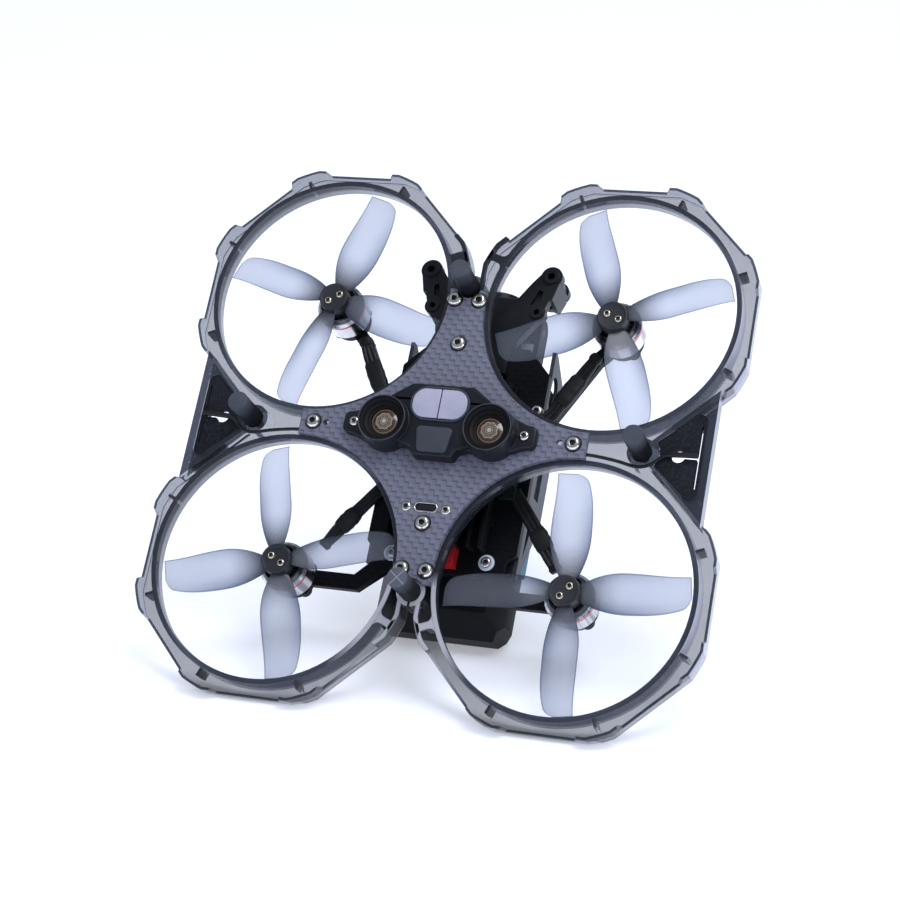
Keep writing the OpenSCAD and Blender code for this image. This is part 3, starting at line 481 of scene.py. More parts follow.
def smoke_clear():
    """Smoke-tinted clear plastic: sheets and outer walls let light through, lips and ribs read dark."""
    s = Shader()
    x, y, height = s.split(s.coord)
    sideways, _, up = s.normal_axes()
    off_x = s.minus(s.size(x), middle("bell_fr").x)
    off_y = s.minus(s.size(y), middle("bell_fr").y)
    axis = s.distance(off_x, off_y)
    level = s.ramp(s.size(up), 0.0, 1.0, 0.8, 0.9)
    sheet_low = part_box("duct_frame_right")[1][2] - 1.4 * MM
    is_sheet = s.times(level, s.ramp(height, 0.0, 1.0, sheet_low - 0.1 * MM, sheet_low))
    is_lip = s.times(level, s.minus(1.0, is_sheet))
    is_outer = s.times(s.ramp(axis, 0.0, 1.0, 51.4 * MM, 51.6 * MM), s.minus(1.0, level))
    is_rib = s.times(s.band(axis, 49.1 * MM, 51.4 * MM, 0.1 * MM), s.minus(1.0, level))
    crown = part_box("duct_frame_right")[1][2] - 0.7 * MM
    is_crown = s.times(is_outer, s.ramp(height, 0.0, 1.0, crown, crown + 0.15 * MM))
    thin = s.math("MAXIMUM", is_sheet, is_outer)
    dark = s.math("MAXIMUM", is_crown, is_rib)
    cloud = s.noise(38.0, 3.0)
    grain = s.noise(900.0, 2.0)
    rim = s.times(s.edge(0.00045), s.minus(1.0, is_sheet))
    # The lips beside the rear foot catch the light
    by_foot = s.times(s.ramp(s.size(x), 1.0, 0.0, 16.0 * MM, 27.0 * MM),
                      s.ramp(y, 1.0, 0.0, -58.0 * MM, -52.0 * MM))
    lit_lip = s.times(is_lip, by_foot)
    see = s.mix(is_sheet, (0.40, 0.42, 0.47), (0.68, 0.68, 0.685))
    see = s.mix(is_outer, see, (0.66, 0.67, 0.70))
    see = s.mix(is_lip, see, (0.14, 0.15, 0.19))
    see = s.mix(dark, see, (0.08, 0.09, 0.11))
    see = s.mix(rim, see, (0.10, 0.11, 0.15))
    solid = s.mix(s.ramp(cloud, 0.0, 1.0, 0.35, 0.65), (0.030, 0.035, 0.050), (0.044, 0.051, 0.070))
    solid = s.mix(thin, solid, (0.23, 0.23, 0.235))
    solid = s.mix(is_rib, solid, (0.020, 0.021, 0.025))
    solid = s.mix(lit_lip, solid, (0.34, 0.355, 0.42))
    # The outermost flank on the left side faces the light
    flank = s.times(s.ramp(x, 1.0, 0.0, -99.9 * MM, -99.4 * MM),
                    s.ramp(sideways, 1.0, 0.0, -0.9, -0.6))
    solid = s.mix(flank, solid, (0.34, 0.36, 0.47))
    solid = s.mix(s.times(rim, 0.8), solid, (0.028, 0.033, 0.046))
    normal = s.bump(grain, 0.12, 0.00004, s.bump(cloud, 0.05, 0.0005, s.soft_normal(0.0004)))
    skin = s.principled(solid, s.ramp(cloud, 0.12, 0.24), normal, IOR=1.55, Coat_Weight=0.4,
                        Coat_Roughness=0.08)
    body = s.minus(0.50, s.times(thin, 0.34))
    body = s.minus(body, s.times(is_lip, 0.08))
    body = s.plus(body, s.times(dark, 0.32))
    body = s.plus(body, s.times(s.math("MAXIMUM", lit_lip, flank), 0.45))
    body = s.plus(body, s.times(rim, 0.30), clamp=True)
    return s.done(s.blend(body, s.clear(see), skin))


def blade_clear():
    """Milky clear blade, greyer towards the hub, with painted shade that leaves it bright along the middle
    and greyer at its edges.
    """
    s = Shader()
    span, across = s.attribute("span"), s.attribute("across")
    cloud = s.noise(26.0, 3.0)
    along = s.plus(span, s.times(s.minus(cloud, 0.5), 0.10))
    root = s.math("POWER", s.ramp(along, 1.0, 0.0, 0.0, 0.42), 2.2)
    # Painted shade: darker towards the chord's edges and the hub, standing in for light on the curved blade
    inner = s.ramp(along, 1.0, 0.15, 0.10, 0.85)
    side = s.math("POWER", s.size(s.plus(across, 0.12)), 2.4)
    shade = s.times(side, inner, clamp=True)
    see = s.mix(shade, (0.79, 0.805, 0.845), (0.44, 0.475, 0.56))
    see = s.mix(root, see, (0.20, 0.21, 0.25))
    rim = s.ramp(s.attribute("rim"), 0.0, 1.0, 0.90, 1.0)
    see = s.mix(s.times(rim, 0.75), see, (0.26, 0.29, 0.38))
    tone = s.mix(shade, (0.33, 0.37, 0.47), (0.15, 0.175, 0.25))
    tone = s.mix(root, tone, (0.030, 0.033, 0.042))
    flow = s.noise(1.0, 2.0, 0.5, s.stretch((900.0, 900.0, 40.0)))
    normal = s.bump(flow, 0.04, 0.00003)
    skin = s.principled(tone, s.ramp(cloud, 0.20, 0.32), normal, IOR=1.5)
    body = s.plus(0.11, s.times(root, 0.62))
    return s.done(s.blend(body, s.clear(see), skin))


def lens_glass():
    """Small camera lens: an eight-lobed barrel seen through brown coated glass, with a painted highlight
    round the lobed edge.
    """
    s = Shader()
    out, turn = s.attribute("radial"), s.attribute("turn")
    lobes = s.times(s.math("COSINE", s.times(turn, 8.0)), 0.035)
    petal = s.plus(out, lobes)
    dust = s.noise(2200.0, 2.0)
    tone = s.mix(s.ramp(dust, 0.0, 0.5), (0.030, 0.019, 0.013), (0.055, 0.035, 0.024))
    # Painted highlight: a pale thin ring along the lobed edge
    tone = s.mix(s.band(petal, 0.56, 0.63, 0.02), tone, (0.30, 0.235, 0.195))
    tone = s.mix(s.band(petal, 0.36, 0.54, 0.03), tone, (0.115, 0.088, 0.074))
    tone = s.mix(s.band(out, 0.24, 0.31, 0.02), tone, (0.20, 0.185, 0.155))
    tone = s.mix(s.ramp(out, 1.0, 0.0, 0.14, 0.20), tone, (0.30, 0.30, 0.22))
    tone = s.mix(s.band(out, 0.88, 0.94, 0.02), tone, (0.17, 0.115, 0.075))
    normal = s.bump(dust, 0.05, 0.00002)
    return s.done(s.principled(tone, s.ramp(dust, 0.16, 0.24), normal, Coat_Weight=0.7,
                               Coat_Roughness=0.05))


def camera_glass():
    """Front lens of the camera: near-black coated glass with faint element rings."""
    s = Shader()
    low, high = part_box("camera_lens")
    x, _, height = s.split(s.coord)
    off_x = s.minus(x, middle("camera_lens").x)
    off_z = s.minus(height, middle("camera_lens").z)
    out = s.distance(off_x, off_z)
    out = s.math("DIVIDE", out, (high[0] - low[0]) / 2)
    dust = s.noise(1800.0, 2.0)
    tone = s.mix(s.ramp(dust, 0.0, 1.0, 0.3, 0.7), (0.003, 0.004, 0.008), (0.008, 0.010, 0.018))
    tone = s.mix(s.band(out, 0.84, 0.96, 0.02), tone, (0.020, 0.021, 0.024))
    tone = s.mix(s.band(out, 0.56, 0.62, 0.02), tone, (0.050, 0.040, 0.095))
    tone = s.mix(s.band(out, 0.28, 0.34, 0.02), tone, (0.020, 0.060, 0.080))
    normal = s.bump(dust, 0.04, 0.00002)
    return s.done(s.principled(tone, s.ramp(dust, 0.06, 0.12), normal, Coat_Weight=1.0,
                               Coat_Roughness=0.03))


def rubber(crossed_at=None):
    """Foot rubber: slate end face, with painted shade darkening it up the shank towards the plate; one foot
    has a moulded cross on its face.
    """
    s = Shader()
    x, y, height = s.split(s.coord)
    cloud, fine = s.noise(160.0, 4.0), s.noise(1500.0, 2.0)
    tone = s.mix(s.ramp(cloud, 0.0, 1.0, 0.3, 0.7), (0.036, 0.043, 0.062), (0.050, 0.058, 0.082))
    # Painted shade: the shank darkens towards the plate, where the foot stands in shadow
    tone = s.mix(s.ramp(height, 0.0, 1.0, 0.6 * MM, 9.0 * MM), tone, (0.0035, 0.004, 0.006))
    if crossed_at:
        face = s.ramp(height, 1.0, 0.0, 0.1 * MM, 0.4 * MM)
        tone = s.mix(face, tone, (0.068, 0.078, 0.108))
        for heading in (math.radians(38.0), math.radians(128.0)):
            off = s.plus(s.times(s.minus(x, crossed_at[0]), -math.sin(heading)),
                         s.times(s.minus(y, crossed_at[1]), math.cos(heading)))
            line = s.ramp(s.size(off), 1.0, 0.0, 0.10 * MM, 0.28 * MM)
            tone = s.mix(s.times(line, face), tone, (0.17, 0.185, 0.225))
    normal = s.bump(fine, 0.35, 0.00007, s.bump(cloud, 0.1, 0.0003))
    return s.done(s.principled(tone, s.ramp(cloud, 0.55, 0.75), normal, Specular_IOR_Level=0.2))


def bell_metal():
    """Polished bell with a red anodised band, painted dark upright reflections, and a darker cap on the
    propeller side.
    """
    s = Shader()
    _, _, height = s.split(s.coord)
    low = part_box("bell_fr")[0][2]
    lines = s.noise(1.0, 3.0, 0.6, s.stretch((60.0, 60.0, 2600.0)))
    smudge = s.noise(140.0, 4.0)
    tone = s.mix(s.ramp(smudge, 0.0, 0.4), (0.84, 0.84, 0.88), (0.52, 0.53, 0.58))
    # Painted reflection: dark upright streaks stand in for the room reflected in the polished bell
    streaks = s.noise(1.0, 2.0, 0.6, s.stretch((330.0, 330.0, 8.0)))
    tone = s.mix(s.ramp(streaks, 0.0, 0.85, 0.42, 0.62), tone, (0.20, 0.21, 0.25))
    tone = s.mix(s.ramp(height, 1.0, 0.0, low + 1.9 * MM, low + 2.3 * MM), tone, (0.10, 0.10, 0.115))
    tone = s.mix(s.band(height, low + 3.3 * MM, low + 4.3 * MM, 0.05 * MM), tone, (0.62, 0.015, 0.03))
    normal = s.bump(lines, 0.15, 0.00003, s.soft_normal(0.0002))
    return s.done(s.principled(tone, s.ramp(smudge, 0.14, 0.34), normal, 1.0))


def frosted_pane():
    """Lavender sensor window with a faint inner sheen."""
    s = Shader()
    cloud, fine = s.noise(120.0, 3.0), s.noise(2600.0, 2.0)
    tone = s.mix(s.ramp(cloud, 0.0, 1.0, 0.3, 0.7), (0.255, 0.262, 0.370), (0.300, 0.306, 0.420))
    tone = s.mix(s.edge(0.0003, 0.7), tone, (0.20, 0.20, 0.30))
    normal = s.bump(fine, 0.08, 0.00002, s.soft_normal(0.0002))
    return s.done(s.principled(tone, s.ramp(cloud, 0.25, 0.38), normal, Coat_Weight=0.4,
                               Coat_Roughness=0.12))


MATERIALS = {
    "carbon": carbon_weave(0.8),
    # A near-black copy of the carbon: painted shade for the arm plate, which lies in shadow
    "carbon_in_shade": carbon_weave(0.035, 0.1),
    "duct_smoke": smoke_clear(),
    "textured_black": moulded((0.0042, 0.0052, 0.009), (0.009, 0.0105, 0.016), 0.72,
                              2300.0, 0.5, shine=0.12, speckle=0.7),
    "black_plastic": moulded((0.005, 0.006, 0.0095), (0.0095, 0.011, 0.0165), 0.32, shine=0.28),
    "slate_plastic": moulded((0.024, 0.03, 0.046), (0.032, 0.039, 0.058), 0.46),
    "foot_rubber": rubber(),
    "steel_screw": metal((0.86, 0.82, 0.78), 0.2),
    "prop_screw": metal((0.8, 0.7, 0.56), 0.24),
    "funnel_black": moulded((0.003, 0.003, 0.004), (0.006, 0.006, 0.008), 0.55, shine=0.18),
    # Painted shade: the hex sockets take a dark brown material for the shade inside them
    "socket_shade": moulded((0.012, 0.01, 0.009), (0.03, 0.024, 0.02), 0.4),
    "washer_blue": moulded((0.42, 0.5, 0.64), (0.52, 0.6, 0.74), 0.35, shine=0.6),
    "red_anodised": moulded((0.36, 0.01, 0.016), (0.46, 0.018, 0.024), 0.38),
    "black_screw": metal((0.03, 0.03, 0.033), 0.35),
    "lens_glass": lens_glass(),
    "camera_glass": camera_glass(),
    "window_glass": frosted_pane(),
    "pcb": moulded((0.004, 0.01, 0.008), (0.006, 0.016, 0.012), 0.35),
    "alloy_dark": metal((0.016, 0.017, 0.021), 0.5, wear=(0.05, 0.05, 0.06)),
    "alloy_red": metal((0.5, 0.02, 0.02), 0.3, wear=(0.7, 0.1, 0.1)),
    "alloy_silver": metal((0.8, 0.8, 0.84), 0.3),
    "bell_metal": bell_metal(),
    "lamination": metal((0.25, 0.25, 0.27), 0.4),
    "copper": metal((0.62, 0.24, 0.08), 0.3, wear=(0.75, 0.4, 0.2)),
    "bearing_steel": metal((0.8, 0.8, 0.82), 0.15),
    "magnet_nickel": metal((0.5, 0.5, 0.53), 0.25),
    "wire_black": moulded((0.0055, 0.006, 0.0075), (0.012, 0.0125, 0.015), 0.36),
    "shrink_black": moulded((0.004, 0.0045, 0.006), (0.01, 0.0105, 0.013), 0.5),
    "side_grey": moulded((0.022, 0.029, 0.042), (0.034, 0.044, 0.062), 0.4, shine=0.25),
    "prop_clear": blade_clear(),
    "hub_black": moulded((0.012, 0.014, 0.02), (0.02, 0.023, 0.031), 0.42),
    "gps_ceramic": moulded((0.6, 0.56, 0.47), (0.66, 0.62, 0.53), 0.3),
    "damper_rubber": moulded((0.03, 0.032, 0.038), (0.04, 0.042, 0.05), 0.65),
    "battery_case": moulded((0.0028, 0.0033, 0.005), (0.0055, 0.0065, 0.0092), 0.42, shine=0.08),
    "teal_plastic": moulded((0.006, 0.105, 0.185), (0.01, 0.135, 0.22), 0.45),
    "power_red": moulded((0.5, 0.03, 0.02), (0.6, 0.05, 0.03), 0.35),
}
for material_name, material in MATERIALS.items():
    material.name = material_name


def dress_node(name, slot):
    node = nodes[name]
    node.data.materials.clear()
    node.data.materials.append(MATERIALS[slot])


# The arm plate takes the near-black carbon, a painted shade
SPECIAL = {"arm_plate": "carbon_in_shade", "frame_standoffs": "red_anodised", "camera_lens": "camera_glass",
           **{"bell_" + rotor: "bell_metal" for rotor in ROTORS}}
for node_name, slot_name in SLOT_OF.items():
    dress_node(node_name, SPECIAL.get(node_name, slot_name))


# ---- screws ---------------------------------------------------------------

def screw_profile(head_r, head_h, socket_r):
    """Button head from the socket's floor, over the dome, down to the seat; the top is at 0."""
    lip = socket_r + 0.09 * head_r
    return [(0.0, -0.72 * head_h), (socket_r, -0.70 * head_h, 6), (socket_r, -0.05 * head_h, 6),
            (lip, 0.0), (0.66 * head_r, -0.01 * head_h), (0.76 * head_r, -0.10 * head_h),
            (0.86 * head_r, -0.24 * head_h), (0.95 * head_r, -0.46 * head_h),
            (head_r, -0.75 * head_h), (head_r, -head_h), (0.0, -head_h)]


def screw_set(node, facing, socket, head_h, material=None):
    """Domed heads with hex sockets in place of a node's screws; facing is -1 for heads at the bottom."""
    bm = bmesh.new()
    for low, high in islands(node):
        centre = (low + high) / 2
        head_r = (high.x - low.x) / 2
        top = high.z if facing > 0 else low.z
        spin = random.uniform(0.0, math.pi)
        at = Vector((centre.x, centre.y, top))
        # The socket's two strips take the painted socket shade
        lathe(bm, screw_profile(head_r, head_h, socket * head_r), at, facing, 48, spin, 2)
        shank = [(0.0, -0.9 * head_h), (0.5 * head_r, -0.9 * head_h),
                 (0.5 * head_r, -(high.z - low.z)), (0.0, -(high.z - low.z))]
        lathe(bm, shank, at, facing, 20)
    add_piece(node + "_domed", bm, material or SLOT_OF[node], node, second="socket_shade")


def screw_gap_shade():
    """A thin dark ring round each screw head in the belly plate: painted shade for the shadowed gap between
    head and hole.
    """
    bm = bmesh.new()
    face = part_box("belly_plate")[0][2]
    sunk, proud = -0.02 * MM, 0.05 * MM
    for low, high in islands("plate_screws"):
        centre, r = (low + high) / 2, (high.x - low.x) / 2
        ring = [(0.90 * r, sunk), (1.0 * r, proud), (r + 0.42 * MM, proud), (r + 0.5 * MM, sunk)]
        lathe(bm, ring + ring[:1], Vector((centre.x, centre.y, face)), -1.0, 40)
    add_piece("screw_gap_shade", bm, "shrink_black")


def frame_screw_heads():
    """Domed heads in the arm plate; the rear pair sit on wide bright washers."""
    heads, washers = bmesh.new(), bmesh.new()
    plate_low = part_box("arm_plate")[0][2]
    for low, high in islands("frame_screws"):
        at = (low + high) / 2
        above = abs(at.x) < MM      # the two on the centre line hold the posts from above
        on_washer = not above and at.y < 0
        r = 2.1 * MM if on_washer else 2.55 * MM
        top, facing = (high.z, 1.0) if above else (low.z, -1.0)
        lathe(heads, screw_profile(r, 1.3 * MM, 0.46 * r), Vector((at.x, at.y, top)), facing, 48, 0.4, 2)
        shank = [(0.0, 1.2), (1.4, 1.2), (1.4, 4.2), (0.0, 4.2)]
        lathe(heads, in_mm(shank), Vector((at.x, at.y, top)), -facing, 20)
        if on_washer:
            ring = [(1.5, 0.1), (2.9, 0.1), (3.1, 0.3), (3.1, 0.78), (1.5, 0.78), (1.5, 0.1)]
            lathe(washers, in_mm(ring), Vector((at.x, at.y, plate_low - 0.8 * MM)), 1.0, 48)
    add_piece("frame_screw_heads", heads, "steel_screw", "frame_screws", second="socket_shade")
    add_piece("frame_washers", washers, "washer_blue", slot=SLOT_OF["frame_screws"])


screw_set("plate_screws", -1, 0.44, 1.7 * MM)
screw_set("small_screws", -1, 0.50, 1.0 * MM)
screw_set("motor_screws", 1, 0.46, 1.5 * MM)
screw_gap_shade()
frame_screw_heads()


# ---- propellers -----------------------------------------------------------

PROP_R, HUB_R, HUB_H = 45.0 * MM, 5.75 * MM, 6.6 * MM
BLADE_PITCH, BLADE_T, BLADES = 57.0 * MM, 1.3 * MM, 4
BLADE_SET = 3.4 * MM        # blades sit this far from the bell's face
TIP_FROM = 0.9              # part of the span where the rounded tip begins
BLADE_TURN = {"fr": 13.3, "fl": 18.2, "rr": 12.3, "rl": 82.6}
SECTION = [(-1, 0), (-0.93, 0.28), (-0.75, 0.60), (-0.35, 0.95), (0.15, 1.0), (0.6, 0.7), (0.9, 0.3),
           (1, 0), (0.9, -0.3), (0.6, -0.6), (0.15, -0.75), (-0.35, -0.7), (-0.75, -0.45), (-0.93, -0.2)]


def chord(u):
    return PROP_R * (0.341 - (1.16 if u < 0.42 else 0.3) * (u - 0.42) ** 2)


def tip_round(u):
    return 1.0 if u < TIP_FROM else math.sqrt(max(0.0, 1.0 - ((u - TIP_FROM) / 0.125) ** 3))


def blade_section(u):
    """Outline of the blade at span position u, as (outward, across, up) points."""
    r = HUB_R - MM + u * (PROP_R - HUB_R + MM)
    a = min(math.radians(19.0), math.atan(BLADE_PITCH / (2 * math.pi * r)))
    full = chord(u) / 2
    c = full * tip_round(u)
    shift = (0.7 + math.sin(math.pi * u ** 2.3)) * MM - (full - c)
    t = BLADE_T * (1 - 0.62 * u) / 2
    points = []
    for x, z in SECTION:
        along, up = x * c, z * t + 0.05 * c * (1 - x * x)
        points.append(Vector((r, along * math.cos(a) - up * math.sin(a) + shift,
                              along * math.sin(a) + up * math.cos(a))))
    return points


def rotor_place(rotor, turn):
    """Matrix from a rotor's own frame to the row frame; diagonal neighbours are mirrored."""
    centre = middle("bell_" + rotor)
    centre.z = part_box("bell_" + rotor)[0][2]
    sx, sy = ROTORS[rotor]
    mirror = Matrix.Diagonal((1, 1 if sx * sy > 0 else -1, 1, 1))
    return Matrix.Translation(centre) @ mirror @ Matrix.Rotation(math.radians(turn), 4, "Z")


def make_blades(rotor):
    bm = bmesh.new()
    spans, rims, chords = [bm.verts.layers.float.new(name) for name in ("span", "rim", "across")]
    stations = [k / 26 * TIP_FROM for k in range(26)]
    stations += [TIP_FROM + (1.0 - TIP_FROM) * math.sin(math.pi / 2 * k / 9) for k in range(10)]
    for blade in range(BLADES):
        place = rotor_place(rotor, BLADE_TURN[rotor] + blade * 360.0 / BLADES)
        rings = []
        for u in stations:
            ring = []
            for (x, _), point in zip(SECTION, blade_section(u)):
                vert = bm.verts.new(place @ (point - Vector((0, 0, BLADE_SET))))
                vert[spans] = u
                vert[rims] = max(abs(x), (u - TIP_FROM) / (1.0 - TIP_FROM))
                vert[chords] = x
                ring.append(vert)
            rings.append(ring)
        join_rings(bm, rings)
        bm.faces.new(rings[0])
        bm.faces.new(rings[-1])
    blades = add_piece("blades_" + rotor, bm, "prop_clear", "propeller_" + rotor, sharp=75.0)
    smooth = blades.modifiers.new("smooth", "SUBSURF")
    smooth.levels = smooth.render_levels = 1


def make_hub(rotor):
    """Black hub with a shallow dish for the two screws."""
    place = rotor_place(rotor, 0.0)
    at = Vector((place.translation.x, place.translation.y, place.translation.z - HUB_H))
    profile = [(0.0, 0.75), (3.6, 0.75), (4.5, 0.62), (4.75, 0.25), (5.0, 0.04), (5.3, 0.0), (5.6, 0.12),
               (5.74, 0.45), (5.75, 6.2), (5.5, 6.55), (0.0, 6.58)]
    bm = bmesh.new()
    lathe(bm, in_mm(profile), at, 1.0, 64)
    add_piece("hub_" + rotor, bm, "hub_black", body="rotor_" + rotor, slot="black_plastic")


for rotor_name in ROTORS:
    make_blades(rotor_name)
    make_hub(rotor_name)
    screw_set("prop_screws_" + rotor_name, -1, 0.52, 1.1 * MM, "prop_screw")


# ---- lips and bridges of the duct rings -----------------------------------

RING_LIP, RING_FLAT, RING_CORNER = 48.2 * MM, 52.5 * MM, 55.1 * MM
LIP_WIDTH = 1.7 * MM


def ring_edge(angle):
    """Distance from a ring's axis to its outer wall, in the direction angle (degrees)."""
    off = math.radians((angle + 22.5) % 45.0 - 22.5)
    return min(RING_FLAT / math.cos(off), RING_CORNER)


def steps_between(start, end, step=2.0):
    count = max(2, round(abs(end - start) / step))
    return [start + (end - start) * k / count for k in range(count + 1)]


def bridge_outline(start, end, hollow=2.6, steps=8):
    """(radius, angle) outline of a bridge from lip to outer wall; both of its ends are hollow arcs."""
    sides = [k / steps for k in range(steps + 1)]
    curve = lambda t: hollow * (1.0 - math.sqrt(max(0.0, 1.0 - (2.0 * t - 1.0) ** 2)))
    across = lambda t, angle: (RING_LIP + t * (ring_edge(angle) - RING_LIP), angle)
    far = [across(t, end + curve(t)) for t in sides]
    near = [across(t, start - curve(t)) for t in reversed(sides)]
    outer = [(ring_edge(a), a) for a in steps_between(end + hollow, start - hollow)[1:-1]]
    inner = [(RING_LIP, a) for a in steps_between(start - hollow, end + hollow)[1:-1]]
    return far + outer + near + inner


def make_flanges():
    """The outer lip of each ring beside the centre feet, and the bridge to its inner lip."""
    bm = bmesh.new()
    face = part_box("belly_plate")[1][2] + 0.02 * MM
    lip_angles = steps_between(148.0, 176.0)
    lip = ([(ring_edge(a) - LIP_WIDTH, a) for a in lip_angles]
           + [(ring_edge(a), a) for a in reversed(lip_angles)])
    for rotor, (sx, sy) in ROTORS.items():
        axis = rotor_place(rotor, 0.0).translation
        # The front foot stands on a solid flange of the ring on the +X side
        bridge = bridge_outline(157.6, 174.0) if rotor == "fr" else bridge_outline(156.4, 159.2)
        for outline in (lip, bridge):
            points = [Vector((axis.x + sx * r * math.cos(math.radians(a)),
                              axis.y + sy * r * math.sin(math.radians(a)))) for r, a in outline]
            pillow(bm, points, face + 1.26 * MM, face, 0.25 * MM)
    add_piece("duct_flanges", bm, "duct_smoke", slot="duct_smoke")


make_flanges()


# ---- feet, antennas and leads ---------------------------------------------

def make_feet():
    for label, (low, high) in zip(("left", "rear", "front", "right"), islands("rubber_feet")):
        centre, r = (low + high) / 2, (high.x - low.x) / 2
        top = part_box("belly_plate")[1][2]
        profile = [(0.0, 0.0), (r - 0.5 * MM, 0.0), (r - 0.12 * MM, 0.14 * MM), (r, 0.5 * MM),
                   (r - 0.1 * MM, 6 * MM), (r - 0.1 * MM, top - 2.5 * MM), (r - 0.02 * MM, top - 0.1 * MM),
                   (0.0, top - 0.05 * MM)]
        bm = bmesh.new()
        lathe(bm, profile, Vector((centre.x, centre.y, 0.0)), 1.0, 56)
        crossed = (centre.x, centre.y) if label == "rear" else None
        foot_rubber = rubber(crossed)
        foot_rubber.name = "rubber_" + label
        add_piece("foot_" + label, bm, foot_rubber, "rubber_feet")


# One flank's antenna cable, and the three-core leads of the front and rear motors
ANTENNA = [(55, -3.0), (60, -3.4), (67, -4.4), (74.6, -5.9), (79.4, -4.6), (84, -0.8), (90, 0.0), (96, 0.2)]
LEAD_FRONT = [(47.4, 45.2), (42.6, 36.4), (37.6, 27.4), (32.6, 18.8), (24.6, 10.8)]
LEAD_REAR = [(46.0, -41.0), (40.0, -32.2), (33.6, -23.6), (24.6, -12.2)]
CORE_R, CORE_GAP = 1.0 * MM, 1.78 * MM


def mirrored(path, side, height):
    return [Vector((side * x * MM, y * MM, height)) for x, y in path]


def make_antennas():
    """A thin cable on each flank that ends in a thicker whip."""
    thick = lambda t: (0.62 + 0.42 * (t > 0.76)) * MM
    bm = bmesh.new()
    for side in (1, -1):
        sweep(bm, smooth_path(mirrored(ANTENNA, side, middle("antennas").z)), thick, thick)
    add_piece("antenna_leads", bm, "wire_black", "antennas")


def make_lead(label, path):
    """Three cores side by side, with a flat heat-shrink sleeve and a taper at the motor."""
    height = middle("motor_wires").z
    cores, sleeves = bmesh.new(), bmesh.new()
    for side in (1, -1):
        centre = smooth_path(mirrored(path, side, height), 8)
        last = len(centre) - 1
        for lane in (-1, 0, 1):
            line = []
            for k, point in enumerate(centre):
                ahead = (centre[min(k + 1, last)] - centre[max(k - 1, 0)]).normalized()
                squeeze = 0.55 + 0.45 * min(1.0, k / (0.22 * last))
                across = lane * CORE_GAP * squeeze * Vector((-ahead.y, ahead.x, 0.0))
                line.append(point + across + Vector((0, 0, 0.12 * MM * math.sin(0.9 * k + lane))))
            sweep(cores, line, lambda t: CORE_R, lambda t: CORE_R)
        for start, end, wide, flat in ((0.30, 0.62, 3.5, 1.75), (0.0, 0.10, 2.6, 1.7)):
            part = centre[int(start * last):int(end * last) + 1]
            swell = lambda t, most: (most - 0.55 * abs(2 * t - 1) ** 4 + 0.10 * math.sin(19 * t)) * MM
            sweep(sleeves, part, lambda t: swell(t, wide), lambda t: swell(t, flat), 24, 3.0)
    add_piece("leads_" + label, cores, "wire_black", "motor_wires")
    add_piece("sleeves_" + label, sleeves, "shrink_black", "wire_collars")


make_feet()
make_antennas()
make_lead("front", LEAD_FRONT)
make_lead("rear", LEAD_REAR)


# ---- vision module --------------------------------------------------------

def stadium(width, depth, centre, steps=14):
    """Outline of a slot with round ends."""
    r = depth / 2
    points = []
    for side in (1, -1):
        for k in range(steps + 1):
            a = -math.pi / 2 + math.pi * k / steps + (0 if side > 0 else math.pi)
            points.append(Vector((centre[0] + side * (width / 2 - r) + r * math.cos(a),
                                  centre[1] + r * math.sin(a))))
    return points


def lens_centres():
    return [(low + high) / 2 for low, high in islands("vision_lens_rims")]


def turn_on_pods(bm, profile):
    """Turns a profile, in mm from the belly plate, round the middle of each pod."""
    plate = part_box("vision_housing")[1][2]
    for centre in lens_centres():
        lathe(bm, in_mm(profile), Vector((centre.x, centre.y, plate)), -1.0, 96)


RAISED = 6.6 * MM       # height of the module's middle, and of the two lenses


def make_vision_body():
    """Base strip with two screw ears, a raised middle, and two round pods with thin rims."""
    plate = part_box("vision_housing")[1][2]
    bm = bmesh.new()
    ear = [(-37.2, 4.2), (-33, 4.8), (-25, 8.2), (25, 8.2), (33, 4.8), (37.2, 4.2), (37.2, -3.6), (33, -4.2),
           (25, -7.4), (-25, -7.4), (-33, -4.2), (-37.2, -3.6)]
    pillow(bm, fillet(in_mm(ear), 3.6 * MM), plate, plate - 3.4 * MM, 0.8 * MM)
    # The raised middle ends in a hollow arc against each pod
    top = fillet(in_mm([(-24.5, 6.0), (-12.2, 16.4), (12.2, 16.4), (24.5, 6.0)]), 4.0 * MM)[7:21]
    foot = fillet(in_mm([(15, -4), (8.8, -8.6), (7.6, -11.4), (-7.6, -11.4), (-8.8, -8.6), (-15, -4)]),
                  1.2 * MM)[7:35]
    pods = sorted((centre.x, centre.y) for centre in lens_centres())
    right = [Vector((pods[1][0] + 8.9 * MM * math.cos(a), pods[1][1] + 8.9 * MM * math.sin(a)))
             for a in (math.radians(80 + 12.5 * k) for k in range(13))]
    left = [Vector((-p.x, p.y)) for p in reversed(right)]
    pillow(bm, top + right + foot + left, plate, plate - RAISED, 1.0 * MM)
    turn_on_pods(bm, [(10.0, 0.0), (10.0, 3.6), (9.75, 5.4), (9.45, 7.6), (9.3, 9.2), (9.1, 9.9),
                      (8.85, 10.15), (8.6, 10.0), (8.35, 9.2), (8.3, 4.0)])
    add_piece("vision_body", bm, "black_plastic", "vision_housing")


def make_vision_rims():
    """Rims in a lighter plastic, a painted highlight: one round each pod's mouth and one round the sensor
    window.
    """
    bm = bmesh.new()
    turn_on_pods(bm, [(8.72, 10.1), (8.86, 10.2), (9.02, 10.1), (9.02, 9.8), (8.72, 9.8), (8.72, 10.1)])
    low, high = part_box("range_window")
    centre = middle("range_window").xy
    path = [Vector((p.x, p.y, low[2] + 0.55 * MM))
            for p in stadium(high[0] - low[0] + 1.3 * MM, high[1] - low[1] + 1.3 * MM, centre)]
    sweep(bm, path, lambda t: 0.42 * MM, lambda t: 0.42 * MM, 10, 2.0, True)
    add_piece("vision_rim_highlight", bm, "slate_plastic", slot="black_plastic")


